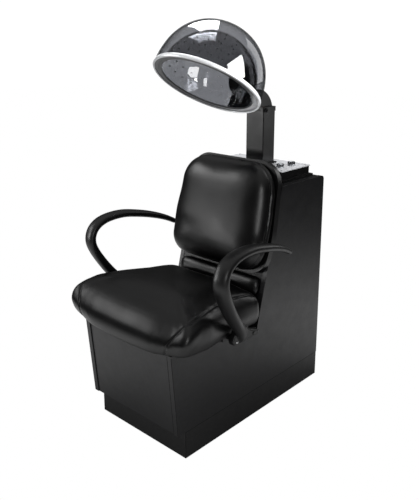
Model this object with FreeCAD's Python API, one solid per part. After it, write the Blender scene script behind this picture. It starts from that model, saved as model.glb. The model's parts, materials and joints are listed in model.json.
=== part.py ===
import FreeCAD, Part
import math
import os

# A salon dryer chair: a laminate box base with a raked tower at the back, an upholstered seat,
# back and lower pad, two open-loop arms, and a hooded hair dryer on a duct post. The dryer blows
# warm air up the post, through a hollow neck, into the space between the hood's two shells, and
# out through holes in the inner shell.
#
# Millimetres. The origin is on the floor, in the middle of the chair's footprint. +X is the
# sitter's left, -Y is the way the sitter faces, +Z is up.

V = FreeCAD.Vector

# ---------------------------------------------------------------- driving dimensions
# Box base and tower
CABINET_WIDTH = 440.0
BOARD = 19.0                  # laminate board thickness
REAR_Y = 440.0
PLINTH_HEIGHT = 102.0
PLINTH_FRONT_Y = -339.0
PLINTH_REVEAL = 1.5           # plinth sides stand in from the cabinet sides
FRONT_FOOT_Y = -376.0         # front edge of the side panels, at the plinth
FRONT_RAKE = 0.09             # front leans forward, mm per mm of height
FRONT_INSET = 2.5             # front panel behind the side panels' edges
TOWER_TOP_Z = 859.0
TOWER_FOOT_Y = 61.0           # tower's front edge at TOWER_FOOT_Z
TOWER_FOOT_Z = 449.0
TOWER_LEAN = 0.26             # tower's front leans back, mm per mm of height
BACK_SCREW_Z = (130.0, 310.0, 490.0, 670.0, 835.0)

# Seat
SEAT_SLOPE = 0.137            # seat falls to the rear, mm per mm
SEAT_BASE_Z = 363.0           # underside of the cushion at Y = 0
SEAT_BOARD = 13.0
SEAT_FRONT_Y = -440.0
SEAT_REAR_Y = 56.0
SEAT_FRONT_HALF = 300.0
SEAT_WAIST_HALF = 250.0
SEAT_REAR_HALF = 230.0
LIP_BOTTOM_Z = 396.0          # lowest point of the seat's waterfall front
RAIL_INNER_X = 199.0          # hardwood rails under the seat board, for the arm bolts
RAIL_OUTER_X = 232.0
RAIL_FRONT_Y = -168.0
RAIL_REAR_Y = -32.0
RAIL_TOP_Z = 399.0

# Back
BACK_BOTTOM_Z = 545.0
BACK_HEIGHT = 398.0           # measured up the lean
BACK_SHELL = 24.0
BACK_PAD = 70.0
BACK_LOW_HALF = 226.0
BACK_TOP_HALF = 207.0
PAD_BOTTOM_Z = 452.0          # lower pad between the seat and the back
PAD_HEIGHT = 82.0
PAD_HALF = 203.0
PAD_THICK = 27.0

# Arm fixing: two bolts a side, through the foot and a spacer into the seat board's rail
ARM_BOLT_AT = ((-138.0, 383.0), (-60.0, 385.0))
BOLT_RADIUS = 4.0
SPACER_RADIUS = 10.0

# Dryer on top of the tower
FLANGE_HALF = 190.0
FLANGE_FRONT_Y = 212.0
FLANGE_REAR_Y = 410.0
FLANGE_THICK = 9.0
CASE_HALF = 176.0
CASE_FRONT_Y = 220.0
CASE_REAR_Y = 401.0
CASE_TOP_Z = 898.0
CASE_WALL = 1.5
PLATE_HALF = 180.0
PLATE_THICK = 3.0
POST_HALF = 42.5
POST_FRONT_Y = 276.0
POST_REAR_Y = 349.0
POST_WALL = 1.5
POST_BOTTOM_Z = 790.0
POST_TOP_Z = 1122.0

# Neck and tilting hinge
PIVOT_Y = 287.0
PIVOT_Z = 1112.0
NECK_RADIUS = 59.6            # round back of the neck, about the pivot
NECK_BACK_DEG = 25.0          # the round back runs up to here, and on as a wider curve
NECK_TAIL_DEG = 42.0          # how far the round back reaches down into the post
NECK_HALF = 30.0
NECK_TOP_Z = 1192.0
NECK_BOTTOM_Z = 1132.0
NECK_WALL = 2.0
BARREL_RADIUS = 8.0
PIN_RADIUS = 5.0
RUNNING_CLEARANCE = 0.05

# Hood
HOOD_TILT_DEG = 32.6          # front of the rim stands higher than the back
HOOD_Y = 3.2
HOOD_Z = 1225.1
HOOD_RADIUS = 200.0
HOOD_HEIGHT = 225.0
OUTER_FULLNESS = 2.17         # 2 is an ellipse, more is squarer
INNER_FULLNESS = 2.0
SHELL_WALL = 3.0
SHELL_GAP = 22.0              # between the shells at the rim
CROWN_GAP = 35.0              # between the shells at the crown
RIM_DEPTH = 10.0
AIR_HOLE_RADIUS = 2.3
SADDLE_THICK = 4.0
PLATE_RADIUS = 66.0           # round plate inside the outer shell, behind the neck
PLATE_CENTRE_Z = 1227.0

# Controls on the plate
TIMER_AT = (122.0, 284.0)
HEAT_AT = (130.0, 345.0)
SWITCH_AT = (88.0, 330.0)
KNOB_RADIUS = 15.0
SHAFT_RADIUS = 3.0


# ---------------------------------------------------------------- helpers
def box(x0, x1, y0, y1, z0, z1):
    return Part.makeBox(x1 - x0, y1 - y0, z1 - z0, V(x0, y0, z0))


def cylinder(radius, length, base, direction):
    return Part.makeCylinder(radius, length, V(*base), V(*direction))


def rounded_wire(corners):
    """Closed wire through (point, radius) corners, each rounded by its own radius."""
    count = len(corners)
    starts, ends, arcs = [], [], []
    for i, (point, radius) in enumerate(corners):
        before = corners[i - 1][0] - point
        after = corners[(i + 1) % count][0] - point
        before.normalize()
        after.normalize()
        if radius <= 0:
            starts.append(point)
            ends.append(point)
            arcs.append(None)
            continue
        half = before.getAngle(after) / 2
        reach = radius / math.tan(half)
        inward = before + after
        inward.normalize()
        middle = point + inward * (radius / math.sin(half) - radius)
        starts.append(point + before * reach)
        ends.append(point + after * reach)
        arcs.append(middle)
    edges = []
    for i in range(count):
        if arcs[i] is not None:
            edges.append(Part.Arc(starts[i], arcs[i], ends[i]).toShape())
        following = starts[(i + 1) % count]
        if (following - ends[i]).Length > 1e-6:
            edges.append(Part.LineSegment(ends[i], following).toShape())
    return Part.Wire(edges)


def side_profile(points, x0, x1):
    """Solid between x0 and x1 from a side outline: (y, z) or (y, z, corner radius)."""
    corners = [(V(x0, p[0], p[1]), p[2] if len(p) > 2 else 0) for p in points]
    return Part.Face(rounded_wire(corners)).extrude(V(x1 - x0, 0, 0))


def plan_profile(points, z0, z1):
    """Solid between z0 and z1 from a plan outline: (x, y) or (x, y, corner radius)."""
    corners = [(V(p[0], p[1], z0), p[2] if len(p) > 2 else 0) for p in points]
    return Part.Face(rounded_wire(corners)).extrude(V(0, 0, z1 - z0))


def mirrored_plan(right_side):
    """Plan outline symmetric about X = 0, from its right side listed front to rear."""
    left_side = [(-p[0],) + tuple(p[1:]) for p in reversed(right_side)]
    return list(right_side) + left_side


def mirrored(shape):
    return shape.mirror(V(0, 0, 0), V(1, 0, 0))


def front_y(z):
    return FRONT_FOOT_Y - FRONT_RAKE * (z - PLINTH_HEIGHT)


def tower_y(z):
    return TOWER_FOOT_Y + TOWER_LEAN * (z - TOWER_FOOT_Z)


def seat_z(y):
    return SEAT_BASE_Z - SEAT_SLOPE * y


def leaning(shape, bottom_z, stand_off):
    """Stand a shape modelled flat (X across, Y up the back, Z forward) against the tower."""
    lean_deg = math.degrees(math.atan(TOWER_LEAN))
    foot = V(0, tower_y(bottom_z), bottom_z)
    forward = V(0, -math.cos(math.radians(lean_deg)), math.sin(math.radians(lean_deg)))
    turned = shape.copy()
    turned.Placement = FreeCAD.Placement(foot + forward * stand_off,
                                         FreeCAD.Rotation(V(1, 0, 0), 90 - lean_deg))
    return turned


def fused(shapes):
    whole = shapes[0]
    for shape in shapes[1:]:
        whole = whole.fuse(shape)
    return whole.removeSplitter()


def save(name, shape):
    solids = shape.Solids
    if not shape.isValid() or not solids:
        raise RuntimeError(name + " is not a valid solid")
    shape = solids[0] if len(solids) == 1 else Part.makeCompound(solids)
    shape.exportStep("parts/" + name + ".step")
    lump = shape.BoundBox
    print("%-22s %2d solid  x %7.1f %7.1f  y %7.1f %7.1f  z %7.1f %7.1f"
          % (name, len(solids), lump.XMin, lump.XMax, lump.YMin, lump.YMax, lump.ZMin, lump.ZMax))


os.makedirs("parts", exist_ok=True)
HALF = CABINET_WIDTH / 2
INSIDE = HALF - BOARD


# ---------------------------------------------------------------- plinth
plinth_half = HALF - PLINTH_REVEAL
plinth_inside = plinth_half - BOARD
save("plinth_front", box(-plinth_half, plinth_half, PLINTH_FRONT_Y, PLINTH_FRONT_Y + BOARD,
                         0, PLINTH_HEIGHT))
save("plinth_rear", box(-plinth_inside, plinth_inside, REAR_Y - BOARD, REAR_Y, 0, PLINTH_HEIGHT))
plinth_side = box(plinth_inside, plinth_half, PLINTH_FRONT_Y + BOARD, REAR_Y, 0, PLINTH_HEIGHT)
save("plinth_side_left", plinth_side)
save("plinth_side_right", mirrored(plinth_side))


# ---------------------------------------------------------------- cabinet boards
def side_panel():
    """L-shaped side: raked front edge, top edge under the seat, leaning tower edge."""
    under = SEAT_BASE_Z - SEAT_BOARD - 1
    top_front_z = under - SEAT_SLOPE * front_y(400)
    corner_y = (tower_y(0) + TOWER_LEAN * under) / (1 + TOWER_LEAN * SEAT_SLOPE)
    outline = [(front_y(PLINTH_HEIGHT), PLINTH_HEIGHT),
               (front_y(top_front_z), top_front_z),
               (corner_y, under - SEAT_SLOPE * corner_y),
               (tower_y(TOWER_TOP_Z), TOWER_TOP_Z, 10),
               (REAR_Y, TOWER_TOP_Z, 14),
               (REAR_Y, PLINTH_HEIGHT)]
    return side_profile(outline, INSIDE, HALF)


def front_panel():
    top_z = 399.0
    foot_z = PLINTH_HEIGHT + 1
    outline = [(front_y(foot_z) + FRONT_INSET, foot_z),
               (front_y(top_z) + FRONT_INSET, top_z),
               (front_y(top_z) + FRONT_INSET + BOARD, top_z),
               (front_y(foot_z) + FRONT_INSET + BOARD, foot_z)]
    return side_profile(outline, -INSIDE + 0.8, INSIDE - 0.8)


def seat_deck():
    front, rear = -376.0, 20.0
    top = SEAT_BASE_Z - SEAT_BOARD - 1
    outline = [(front, top - SEAT_SLOPE * front), (rear, top - SEAT_SLOPE * rear),
               (rear, top - SEAT_SLOPE * rear - BOARD), (front, top - SEAT_SLOPE * front - BOARD)]
    return side_profile(outline, -INSIDE, INSIDE)


def tower_front_board():
    foot_z = 350.0
    top_z = TOWER_TOP_Z - BOARD
    set_back = 2.0
    outline = [(tower_y(foot_z) + set_back, foot_z), (tower_y(top_z) + set_back, top_z),
               (tower_y(top_z) + set_back + BOARD, top_z),
               (tower_y(foot_z) + set_back + BOARD, foot_z)]
    return side_profile(outline, -INSIDE, INSIDE)


panel = side_panel()
save("side_panel_left", panel)
save("side_panel_right", mirrored(panel))
save("front_panel", front_panel())
save("cabinet_floor", box(-INSIDE, INSIDE, -351, REAR_Y - 16, PLINTH_HEIGHT, PLINTH_HEIGHT + BOARD))
save("seat_deck", seat_deck())
save("tower_front_board", tower_front_board())

duct_cut = box(-POST_HALF - 1, POST_HALF + 1, POST_FRONT_Y - 1, POST_REAR_Y + 1, 700, 920)
top_board = box(-INSIDE, INSIDE, tower_y(TOWER_TOP_Z) + 3, REAR_Y - 16,
                TOWER_TOP_Z - BOARD, TOWER_TOP_Z)
save("tower_top_board", top_board.cut(duct_cut))


def back_panel():
    """Removable sheet-steel rear panel with a louvred air intake and an inlet cut-out."""
    sheet = box(-INSIDE + 1, INSIDE - 1, REAR_Y - 4.0, REAR_Y - 2.5, PLINTH_HEIGHT + 2,
                TOWER_TOP_Z - 4)
    slots = []
    for row in range(9):
        z = 640 + row * 16
        slots.append(box(-95, -5, REAR_Y - 10, REAR_Y + 5, z, z + 6))
        slots.append(box(5, 95, REAR_Y - 10, REAR_Y + 5, z, z + 6))
    inlet = box(-160.0, -130.0, REAR_Y - 10, REAR_Y + 5, 152, 176)
    screws = [cylinder(2.2, 20, (sx * 188, REAR_Y - 15, z), (0, 1, 0))
              for sx in (-1, 1) for z in BACK_SCREW_Z]
    return sheet.cut(Part.makeCompound(slots + [inlet] + screws))


save("back_panel", back_panel())


def pan_head(x, z):
    head = cylinder(4.2, 2.0, (x, REAR_Y - 2.5, z), (0, 1, 0))
    shank = cylinder(2.1, 14.0, (x, REAR_Y - 16.5, z), (0, 1, 0))
    drive = box(x - 2.6, x + 2.6, REAR_Y - 1.4, REAR_Y, z - 0.4, z + 0.4)
    return head.fuse(shank).cut(drive).removeSplitter()


save("back_panel_screws", Part.makeCompound(
    [pan_head(sx * 188, z) for sx in (-1, 1) for z in BACK_SCREW_Z]))
cleat = box(INSIDE - 22, INSIDE, REAR_Y - 24, REAR_Y - 4.2, PLINTH_HEIGHT + BOARD,
            TOWER_TOP_Z - BOARD)
cleat = cleat.cut(Part.makeCompound([cylinder(2.2, 30, (188, REAR_Y - 30, z), (0, 1, 0))
                                     for z in BACK_SCREW_Z]))
save("cleat_left", cleat)
save("cleat_right", mirrored(cleat))


# ---------------------------------------------------------------- seat


def seat_rail(grow, underside):
    """Hardwood rail along each side of the seat board, for the arm bolts."""
    front, rear = RAIL_FRONT_Y - grow, RAIL_REAR_Y + grow
    top = RAIL_TOP_Z + grow
    outline = [(front, underside - SEAT_SLOPE * front), (front, top), (rear, top),
               (rear, underside - SEAT_SLOPE * rear)]
    return side_profile(outline, RAIL_INNER_X - grow, RAIL_OUTER_X + grow)


def seat_board():
    """Plywood base under the cushion, with a rail each side for the arm bolts."""
    front, rear = -404.0, 32.0
    top = SEAT_BASE_Z - 1
    outline = [(front, top - SEAT_SLOPE * front), (rear, top - SEAT_SLOPE * rear),
               (rear, top - SEAT_SLOPE * rear - SEAT_BOARD),
               (front, top - SEAT_SLOPE * front - SEAT_BOARD)]
    side = side_profile(outline, -HALF - 10, HALF + 10)
    plan = plan_profile(mirrored_plan([(HALF + 6, front, 30), (HALF + 6, rear, 20)]), 300, 480)
    rail = seat_rail(0, top - SEAT_BOARD)
    whole = fused([side.common(plan), rail, mirrored(rail)])
    for y, z in ARM_BOLT_AT:
        bolt_hole = cylinder(BOLT_RADIUS, 80, (RAIL_INNER_X + 4, y, z), (1, 0, 0))
        whole = whole.cut(bolt_hole).cut(mirrored(bolt_hole))
    return whole


def seat_outline(z, inset):
    """Plan outline of the cushion: wide rounded front, a waist for the arms, a narrower rear."""
    right = [(SEAT_FRONT_HALF * 0.5, SEAT_FRONT_Y + inset, 300),
             (SEAT_FRONT_HALF - inset, SEAT_FRONT_Y + 30 + inset * 0.6, 44),
             (SEAT_FRONT_HALF - 6 - inset, -290, 120),
             (SEAT_WAIST_HALF - inset * 0.4, -140, 200),
             (SEAT_REAR_HALF - inset * 0.4, SEAT_REAR_Y - inset * 0.2, 24)]
    return rounded_wire([(V(p[0], p[1], z), p[2]) for p in mirrored_plan(right)])


def seat_form():
    """The cushion's plan at several heights: tucked in at the base, crowned at the top."""
    levels = [(300, 34), (378, 34), (432, 0), (478, 2), (512, 26), (560, 80)]
    return Part.makeLoft([seat_outline(z, inset) for z, inset in levels], True, True)


def seat_cushion():
    front = SEAT_FRONT_Y - 1
    rear = SEAT_REAR_Y + 1
    body = side_profile([(front, seat_z(front)), (front, 524, 40), (-320, 537, 200),
                         (-120, 522, 300), (rear, 484, 30), (rear, 438),
                         (36, seat_z(36))], -330, 330)
    body = body.common(seat_form())
    panel_face = front_y(LIP_BOTTOM_Z) - 3
    lip_outline = [(-285, 434), (-180, 413, 200), (0, LIP_BOTTOM_Z - 3, 500), (180, 413, 200),
                   (285, 434), (285, 440), (-285, 440)]
    lip = Part.Face(rounded_wire([(V(p[0], front, p[1]), p[2] if len(p) > 2 else 0)
                                  for p in lip_outline])).extrude(V(0, 100, 0))
    lip = lip.common(side_profile([(front, 340), (panel_face, 340), (panel_face, 445),
                                   (front, 445)], -330, 330))
    full_plan = Part.Face(seat_outline(340, 0)).extrude(V(0, 0, 110))
    whole = body.fuse(lip.common(full_plan)).removeSplitter()
    pocket = seat_rail(1.0, 330.0)
    for y, z in ARM_BOLT_AT:
        pocket = pocket.fuse(cylinder(SPACER_RADIUS + 1, 60, (RAIL_OUTER_X - 5, y, z), (1, 0, 0)))
    return whole.cut(pocket).cut(mirrored(pocket)).cut(lower_pad_form(1.0))


def lower_pad_form(grow):
    """Pad that closes the gap between the seat and the back, against the tower."""
    half = PAD_HALF + grow
    flat = plan_profile(mirrored_plan([(half, -grow, 10), (half, PAD_HEIGHT, 10)]),
                        0, PAD_THICK + grow)
    return leaning(flat, PAD_BOTTOM_Z, 1.0)


save("seat_board", seat_board())
save("seat_cushion", seat_cushion())
save("lower_back_pad", lower_pad_form(0))


# ---------------------------------------------------------------- back
def back_outline(extra):
    low = BACK_LOW_HALF + extra
    top = BACK_TOP_HALF + extra * 0.5
    return mirrored_plan([(low - 12, -extra, 74), (low, BACK_HEIGHT * 0.32, 420),
                          (top, BACK_HEIGHT + extra, 92)])


back_shell = plan_profile(back_outline(8), 0, BACK_SHELL)
save("back_shell", leaning(back_shell, BACK_BOTTOM_Z, 1.0))
back_pad = plan_profile(back_outline(0), 0, BACK_PAD)
save("back_cushion", leaning(back_pad, BACK_BOTTOM_Z, 1.0 + BACK_SHELL + 0.3))


# ---------------------------------------------------------------- arms
# Centreline of the sitter's left arm from inside its foot, forward and up round the front of
# the loop, and back to its free rear end: x, y, z, half width across, half depth.
ARM_STATIONS = [
    (270, -108, 386, 12, 26),
    (280, -128, 416, 15, 24),
    (299, -176, 462, 22, 20),
    (313, -232, 532, 27, 18),
    (325, -275, 604, 28, 17),
    (328, -286, 650, 28, 17),
    (327, -268, 691, 28, 16),
    (325, -220, 715, 28, 15),
    (321, -140, 720, 27, 14.5),
    (315, -55, 705, 25, 14),
    (307, 15, 686, 22, 13),
    (299, 72, 665, 18, 11.5),
    (292, 116, 643, 15, 10),
]
ARM_SPLAY_DEG = (18.0, 5.0)   # the wide axis turns rearward, at the foot and at the rear end
ARM_SECTIONS = 20
ARM_FOOT_Z = 371.0
ARM_PAD_X = 254.0             # flat inner face of the foot
ARM_FOOT_X = 277.0            # outer face of the foot
ARM_FACE_X = 268.0            # flat seats of the bolt heads, in the foot's outer face


def ellipse_wire(centre, across, deep, half_across, half_deep):
    samples = []
    for k in range(12):
        turn = 2 * math.pi * k / 12
        samples.append(centre + across * (half_across * math.cos(turn))
                       + deep * (half_deep * math.sin(turn)))
    curve = Part.BSplineCurve()
    curve.interpolate(samples, True)
    return Part.Wire([curve.toShape()])


def arm_bar():
    """A flattened bar swept round the loop, with each section square to the path."""
    points = [V(*row[:3]) for row in ARM_STATIONS]
    knots = [0.0]
    for before, after in zip(points, points[1:]):
        knots.append(knots[-1] + (after - before).Length)
    path = Part.BSplineCurve()
    path.interpolate(Points=points, Parameters=knots)
    sizes = Part.BSplineCurve()
    sizes.interpolate(Points=[V(row[3], row[4], knot) for row, knot in zip(ARM_STATIONS, knots)],
                      Parameters=knots)
    wires = []
    for i in range(ARM_SECTIONS):
        share = i / (ARM_SECTIONS - 1)
        at = knots[-1] * share
        along = V(path.tangent(at)[0])
        along.normalize()
        splay = math.radians(ARM_SPLAY_DEG[0] + (ARM_SPLAY_DEG[1] - ARM_SPLAY_DEG[0]) * share)
        across = V(math.cos(splay), math.sin(splay), 0)
        across = across - along * across.dot(along)
        across.normalize()
        size = sizes.value(at)
        wires.append(ellipse_wire(path.value(at), across, along.cross(across), size.x, size.y))
    return Part.makeLoft(wires, True, False)


def arm_foot():
    """Flared plate under the bar, bolted to the seat board's rail."""
    outline = [(-159, ARM_FOOT_Z, 6), (-23, ARM_FOOT_Z, 3), (-30, 384, 8), (-84, 402, 60),
               (-112, 426, 16), (-146, 410, 14), (-165, 388, 10)]
    return side_profile(outline, ARM_PAD_X, ARM_FOOT_X)


def arm_drilling(y, z):
    """Clearance hole through the foot, with a flat seat for the bolt head outside."""
    hole = cylinder(BOLT_RADIUS, 60, (240, y, z), (1, 0, 0))
    return hole.fuse(cylinder(9.0, 40, (ARM_FACE_X, y, z), (1, 0, 0)))


arm_shape = arm_bar().fuse(arm_foot())
for y, z in ARM_BOLT_AT:
    arm_shape = arm_shape.cut(arm_drilling(y, z))
save("arm_left", arm_shape)
save("arm_right", mirrored(arm_shape))


# ---------------------------------------------------------------- arm hardware

def arm_bolt(y, z):
    head = cylinder(7.0, 4.0, (ARM_FACE_X, y, z), (1, 0, 0))
    rim = [edge for edge in head.Edges if edge.BoundBox.XMin > ARM_FACE_X + 3.9]
    head = head.makeFillet(1.8, rim)
    socket = [V(ARM_FACE_X + 1.5, y + 2.8 * math.cos(math.radians(60 * k)),
                z + 2.8 * math.sin(math.radians(60 * k))) for k in range(7)]
    socket = Part.Face(Part.makePolygon(socket)).extrude(V(5, 0, 0))
    shank_end = RAIL_INNER_X + 4
    shank = cylinder(BOLT_RADIUS, ARM_FACE_X - shank_end, (shank_end, y, z), (1, 0, 0))
    return head.fuse(shank).cut(socket).removeSplitter()


def arm_spacer(y, z):
    """Steel bush that holds the arm's foot off the rail, under the seat's overhang."""
    start = RAIL_OUTER_X
    bush = cylinder(SPACER_RADIUS, ARM_PAD_X - start, (start, y, z), (1, 0, 0))
    return bush.cut(cylinder(BOLT_RADIUS, 40.0, (start - 2, y, z), (1, 0, 0)))


bolts = Part.makeCompound([arm_bolt(y, z) for y, z in ARM_BOLT_AT])
spacers = Part.makeCompound([arm_spacer(y, z) for y, z in ARM_BOLT_AT])
save("arm_bolts_left", bolts)
save("arm_bolts_right", mirrored(bolts))
save("arm_spacers_left", spacers)
save("arm_spacers_right", mirrored(spacers))


# ---------------------------------------------------------------- dryer case on the tower
PLATE_TOP_Z = CASE_TOP_Z + PLATE_THICK
FLANGE_TOP_Z = TOWER_TOP_Z + FLANGE_THICK

flange = plan_profile(mirrored_plan([(FLANGE_HALF, FLANGE_FRONT_Y, 4),
                                     (FLANGE_HALF, FLANGE_REAR_Y, 4)]), TOWER_TOP_Z, FLANGE_TOP_Z)
save("case_flange", flange.cut(box(-160, 160, FLANGE_FRONT_Y + 24, FLANGE_REAR_Y - 24, 800, 900)))

case = plan_profile(mirrored_plan([(CASE_HALF, CASE_FRONT_Y, 3), (CASE_HALF, CASE_REAR_Y, 3)]),
                    FLANGE_TOP_Z, CASE_TOP_Z)
case_inside = plan_profile(mirrored_plan([(CASE_HALF - CASE_WALL, CASE_FRONT_Y + CASE_WALL, 2),
                                          (CASE_HALF - CASE_WALL, CASE_REAR_Y - CASE_WALL, 2)]),
                           FLANGE_TOP_Z - 1, CASE_TOP_Z + 1)
save("dryer_case", case.cut(case_inside))

SWITCH_CUT = (9.5, 6.5)       # half sizes of the switch opening across X and Y


def control_plate():
    plate = plan_profile(mirrored_plan([(PLATE_HALF, CASE_FRONT_Y - 4, 5),
                                        (PLATE_HALF, CASE_REAR_Y + 4, 5)]),
                         CASE_TOP_Z, PLATE_TOP_Z)
    x, y = SWITCH_AT
    cuts = [box(-POST_HALF - 0.5, POST_HALF + 0.5, POST_FRONT_Y - 0.5, POST_REAR_Y + 0.5, 890, 910),
            box(x - SWITCH_CUT[0], x + SWITCH_CUT[0], y - SWITCH_CUT[1], y + SWITCH_CUT[1], 890, 910)]
    for centre in (TIMER_AT, HEAT_AT):
        cuts.append(cylinder(5.0, 20, (centre[0], centre[1], 890), (0, 0, 1)))
    for x in (-165, 165):
        for y in (CASE_FRONT_Y + 14, CASE_REAR_Y - 14):
            cuts.append(cylinder(2.1, 20, (x, y, 890), (0, 0, 1)))
    return plate.cut(Part.makeCompound(cuts))


def plate_screw(x, y):
    head = cylinder(4.0, 1.8, (x, y, PLATE_TOP_Z), (0, 0, 1))
    shank = cylinder(2.0, 12.0, (x, y, PLATE_TOP_Z - 12), (0, 0, 1))
    cross = box(x - 2.4, x + 2.4, y - 0.4, y + 0.4, PLATE_TOP_Z + 1, PLATE_TOP_Z + 3)
    cross = cross.fuse(box(x - 0.4, x + 0.4, y - 2.4, y + 2.4, PLATE_TOP_Z + 1, PLATE_TOP_Z + 3))
    return head.fuse(shank).cut(cross).removeSplitter()


save("control_plate", control_plate())
save("plate_screws", Part.makeCompound([plate_screw(x, y) for x in (-165, 165)
                                        for y in (CASE_FRONT_Y + 14, CASE_REAR_Y - 14)]))


# ---------------------------------------------------------------- controls
def control_body(centre, half, depth):
    """Timer or thermostat under the plate, with a threaded neck through it."""
    x, y = centre
    body = box(x - half, x + half, y - half, y + half, CASE_TOP_Z - depth, CASE_TOP_Z)
    neck = cylinder(5.0, PLATE_THICK, (x, y, CASE_TOP_Z), (0, 0, 1))
    bore = cylinder(SHAFT_RADIUS + RUNNING_CLEARANCE, 60, (x, y, CASE_TOP_Z - 20), (0, 0, 1))
    return body.fuse(neck).cut(bore).removeSplitter()


def knob(centre, grips, grip_depth):
    """Skirted control knob on its shaft, with flutes round the grip and a raised pointer."""
    x, y = centre
    base = PLATE_TOP_Z + 0.6
    skirt = Part.makeCone(KNOB_RADIUS, KNOB_RADIUS - 2, 3.0, V(x, y, base), V(0, 0, 1))
    grip = Part.makeCone(KNOB_RADIUS - 4, KNOB_RADIUS - 5.2, 11.0, V(x, y, base + 3), V(0, 0, 1))
    crown = [edge for edge in grip.Edges if edge.BoundBox.ZMin > base + 13.9]
    grip = grip.makeFillet(1.2, crown)
    flutes = []
    for k in range(grips):
        turn = 2 * math.pi * k / grips
        reach = KNOB_RADIUS - 4.4 + 1.4 - grip_depth
        flutes.append(cylinder(1.4, 12, (x + reach * math.cos(turn), y + reach * math.sin(turn),
                                         base + 3.6), (0, 0, 1)))
    pointer = box(x - 0.8, x + 0.8, y - KNOB_RADIUS + 6.5, y - 2, base + 13.6, base + 14.6)
    shaft = cylinder(SHAFT_RADIUS, base + 4 - (CASE_TOP_Z - 18), (x, y, CASE_TOP_Z - 18), (0, 0, 1))
    return fused([skirt, grip.cut(Part.makeCompound(flutes)), pointer, shaft])


save("timer_body", control_body(TIMER_AT, 22.0, 29.0))
save("thermostat_body", control_body(HEAT_AT, 16.0, 29.0))
save("timer_knob", knob(TIMER_AT, 18, 0.7))
save("heat_knob", knob(HEAT_AT, 10, 1.2))

ROCKER_PIVOT_Z = PLATE_TOP_Z + 0.6


def switch_housing():
    x, y = SWITCH_AT
    bezel = box(x - 12, x + 12, y - 9, y + 9, PLATE_TOP_Z, PLATE_TOP_Z + 1.6)
    well = box(x - 9.5, x + 9.5, y - 6.5, y + 6.5, CASE_TOP_Z - 20, PLATE_TOP_Z)
    hollow = box(x - 8, x + 8, y - 5, y + 5, CASE_TOP_Z - 8, PLATE_TOP_Z + 3)
    pivot = cylinder(1.0, 12, (x, y - 6, ROCKER_PIVOT_Z), (0, 1, 0))
    return fused([bezel, well]).cut(hollow).fuse(pivot).removeSplitter()


def rocker():
    """Two-position rocker, on a cross pin, with a dished top."""
    x, y = SWITCH_AT
    z = ROCKER_PIVOT_Z
    points = [(x - 7.3, z + 0.2), (x - 7.3, z + 3.4), (x, z + 2.0), (x + 7.3, z + 3.4),
              (x + 7.3, z + 0.2), (x + 2.6, z - 3.0), (x - 2.6, z - 3.0)]
    face = Part.Face(Part.makePolygon([V(px, y - 4.6, pz) for px, pz in points + points[:1]]))
    block = face.extrude(V(0, 9.2, 0))
    return block.cut(cylinder(1.0 + RUNNING_CLEARANCE, 12, (x, y - 6, z), (0, 1, 0)))


save("switch_housing", switch_housing())
save("switch_rocker", rocker())


# ---------------------------------------------------------------- duct post
def post_section(grow, z0, z1, corner):
    return plan_profile(mirrored_plan([(POST_HALF + grow, POST_FRONT_Y - grow, corner),
                                       (POST_HALF + grow, POST_REAR_Y + grow, corner)]), z0, z1)


NECK_NOTCH = box(-NECK_HALF - 1, NECK_HALF + 1, POST_FRONT_Y - 8, POST_FRONT_Y + 2,
                 POST_TOP_Z - 12, POST_TOP_Z + 10)
pin_hole = cylinder(PIN_RADIUS, 120, (-60, PIVOT_Y, PIVOT_Z), (1, 0, 0))

post = post_section(0, POST_BOTTOM_Z, POST_TOP_Z, 3)
post = post.cut(post_section(-POST_WALL, POST_BOTTOM_Z - 1, POST_TOP_Z + 1, 1.5))
save("post_duct", post.cut(pin_hole).cut(NECK_NOTCH))

collar = post_section(2.5, POST_TOP_Z - 16, POST_TOP_Z + 1.5, 5)
collar = collar.cut(post_section(0, POST_TOP_Z - 17, POST_TOP_Z, 3))
mouth = box(-NECK_HALF - 1, NECK_HALF + 1, POST_FRONT_Y - 8, POST_REAR_Y - 0.6,
            POST_TOP_Z - 12, POST_TOP_Z + 4)
beside_pin = box(-POST_HALF + POST_WALL, POST_HALF - POST_WALL, POST_FRONT_Y + 1,
                 PIVOT_Y + 14, POST_TOP_Z - 1, POST_TOP_Z + 4)
save("post_collar", collar.cut(mouth).cut(beside_pin).cut(pin_hole))

foot_ring = post_section(10, PLATE_TOP_Z, PLATE_TOP_Z + 3.5, 8)
save("post_foot", foot_ring.cut(post_section(0, PLATE_TOP_Z - 1, PLATE_TOP_Z + 5, 3)))

pin = cylinder(PIN_RADIUS, 2 * POST_HALF + 9, (-POST_HALF - 4.5, PIVOT_Y, PIVOT_Z), (1, 0, 0))
for side in (-1, 1):
    start = POST_HALF + 2.5 if side > 0 else -POST_HALF - 5.5
    pin = pin.fuse(cylinder(8.5, 3.0, (start, PIVOT_Y, PIVOT_Z), (1, 0, 0)))
save("hinge_pin", pin.removeSplitter())


def friction_disc(x0, x1):
    disc = cylinder(13.0, x1 - x0, (x0, PIVOT_Y, PIVOT_Z), (1, 0, 0))
    room = box(-50, 50, POST_FRONT_Y + POST_WALL + 1.6, 400, 1000, 1300)
    return disc.cut(cylinder(PIN_RADIUS, x1 - x0 + 2, (x0 - 1, PIVOT_Y, PIVOT_Z),
                             (1, 0, 0))).common(room)


disc = friction_disc(NECK_HALF + 0.3, POST_HALF - POST_WALL)
save("friction_disc_left", disc)
save("friction_disc_right", mirrored(disc))


# ---------------------------------------------------------------- hood shells
HOOD_PLACE = FreeCAD.Placement(V(0, HOOD_Y, HOOD_Z), FreeCAD.Rotation(V(1, 0, 0), -HOOD_TILT_DEG))


def dome_point(radius, height, fullness, turn_deg):
    """Point on the dome's profile: 0 degrees at the rim, 90 at the crown."""
    turn = math.radians(turn_deg)
    power = 2 / fullness
    return V(radius * max(math.cos(turn), 0.0) ** power, 0, height * math.sin(turn) ** power)


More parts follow.
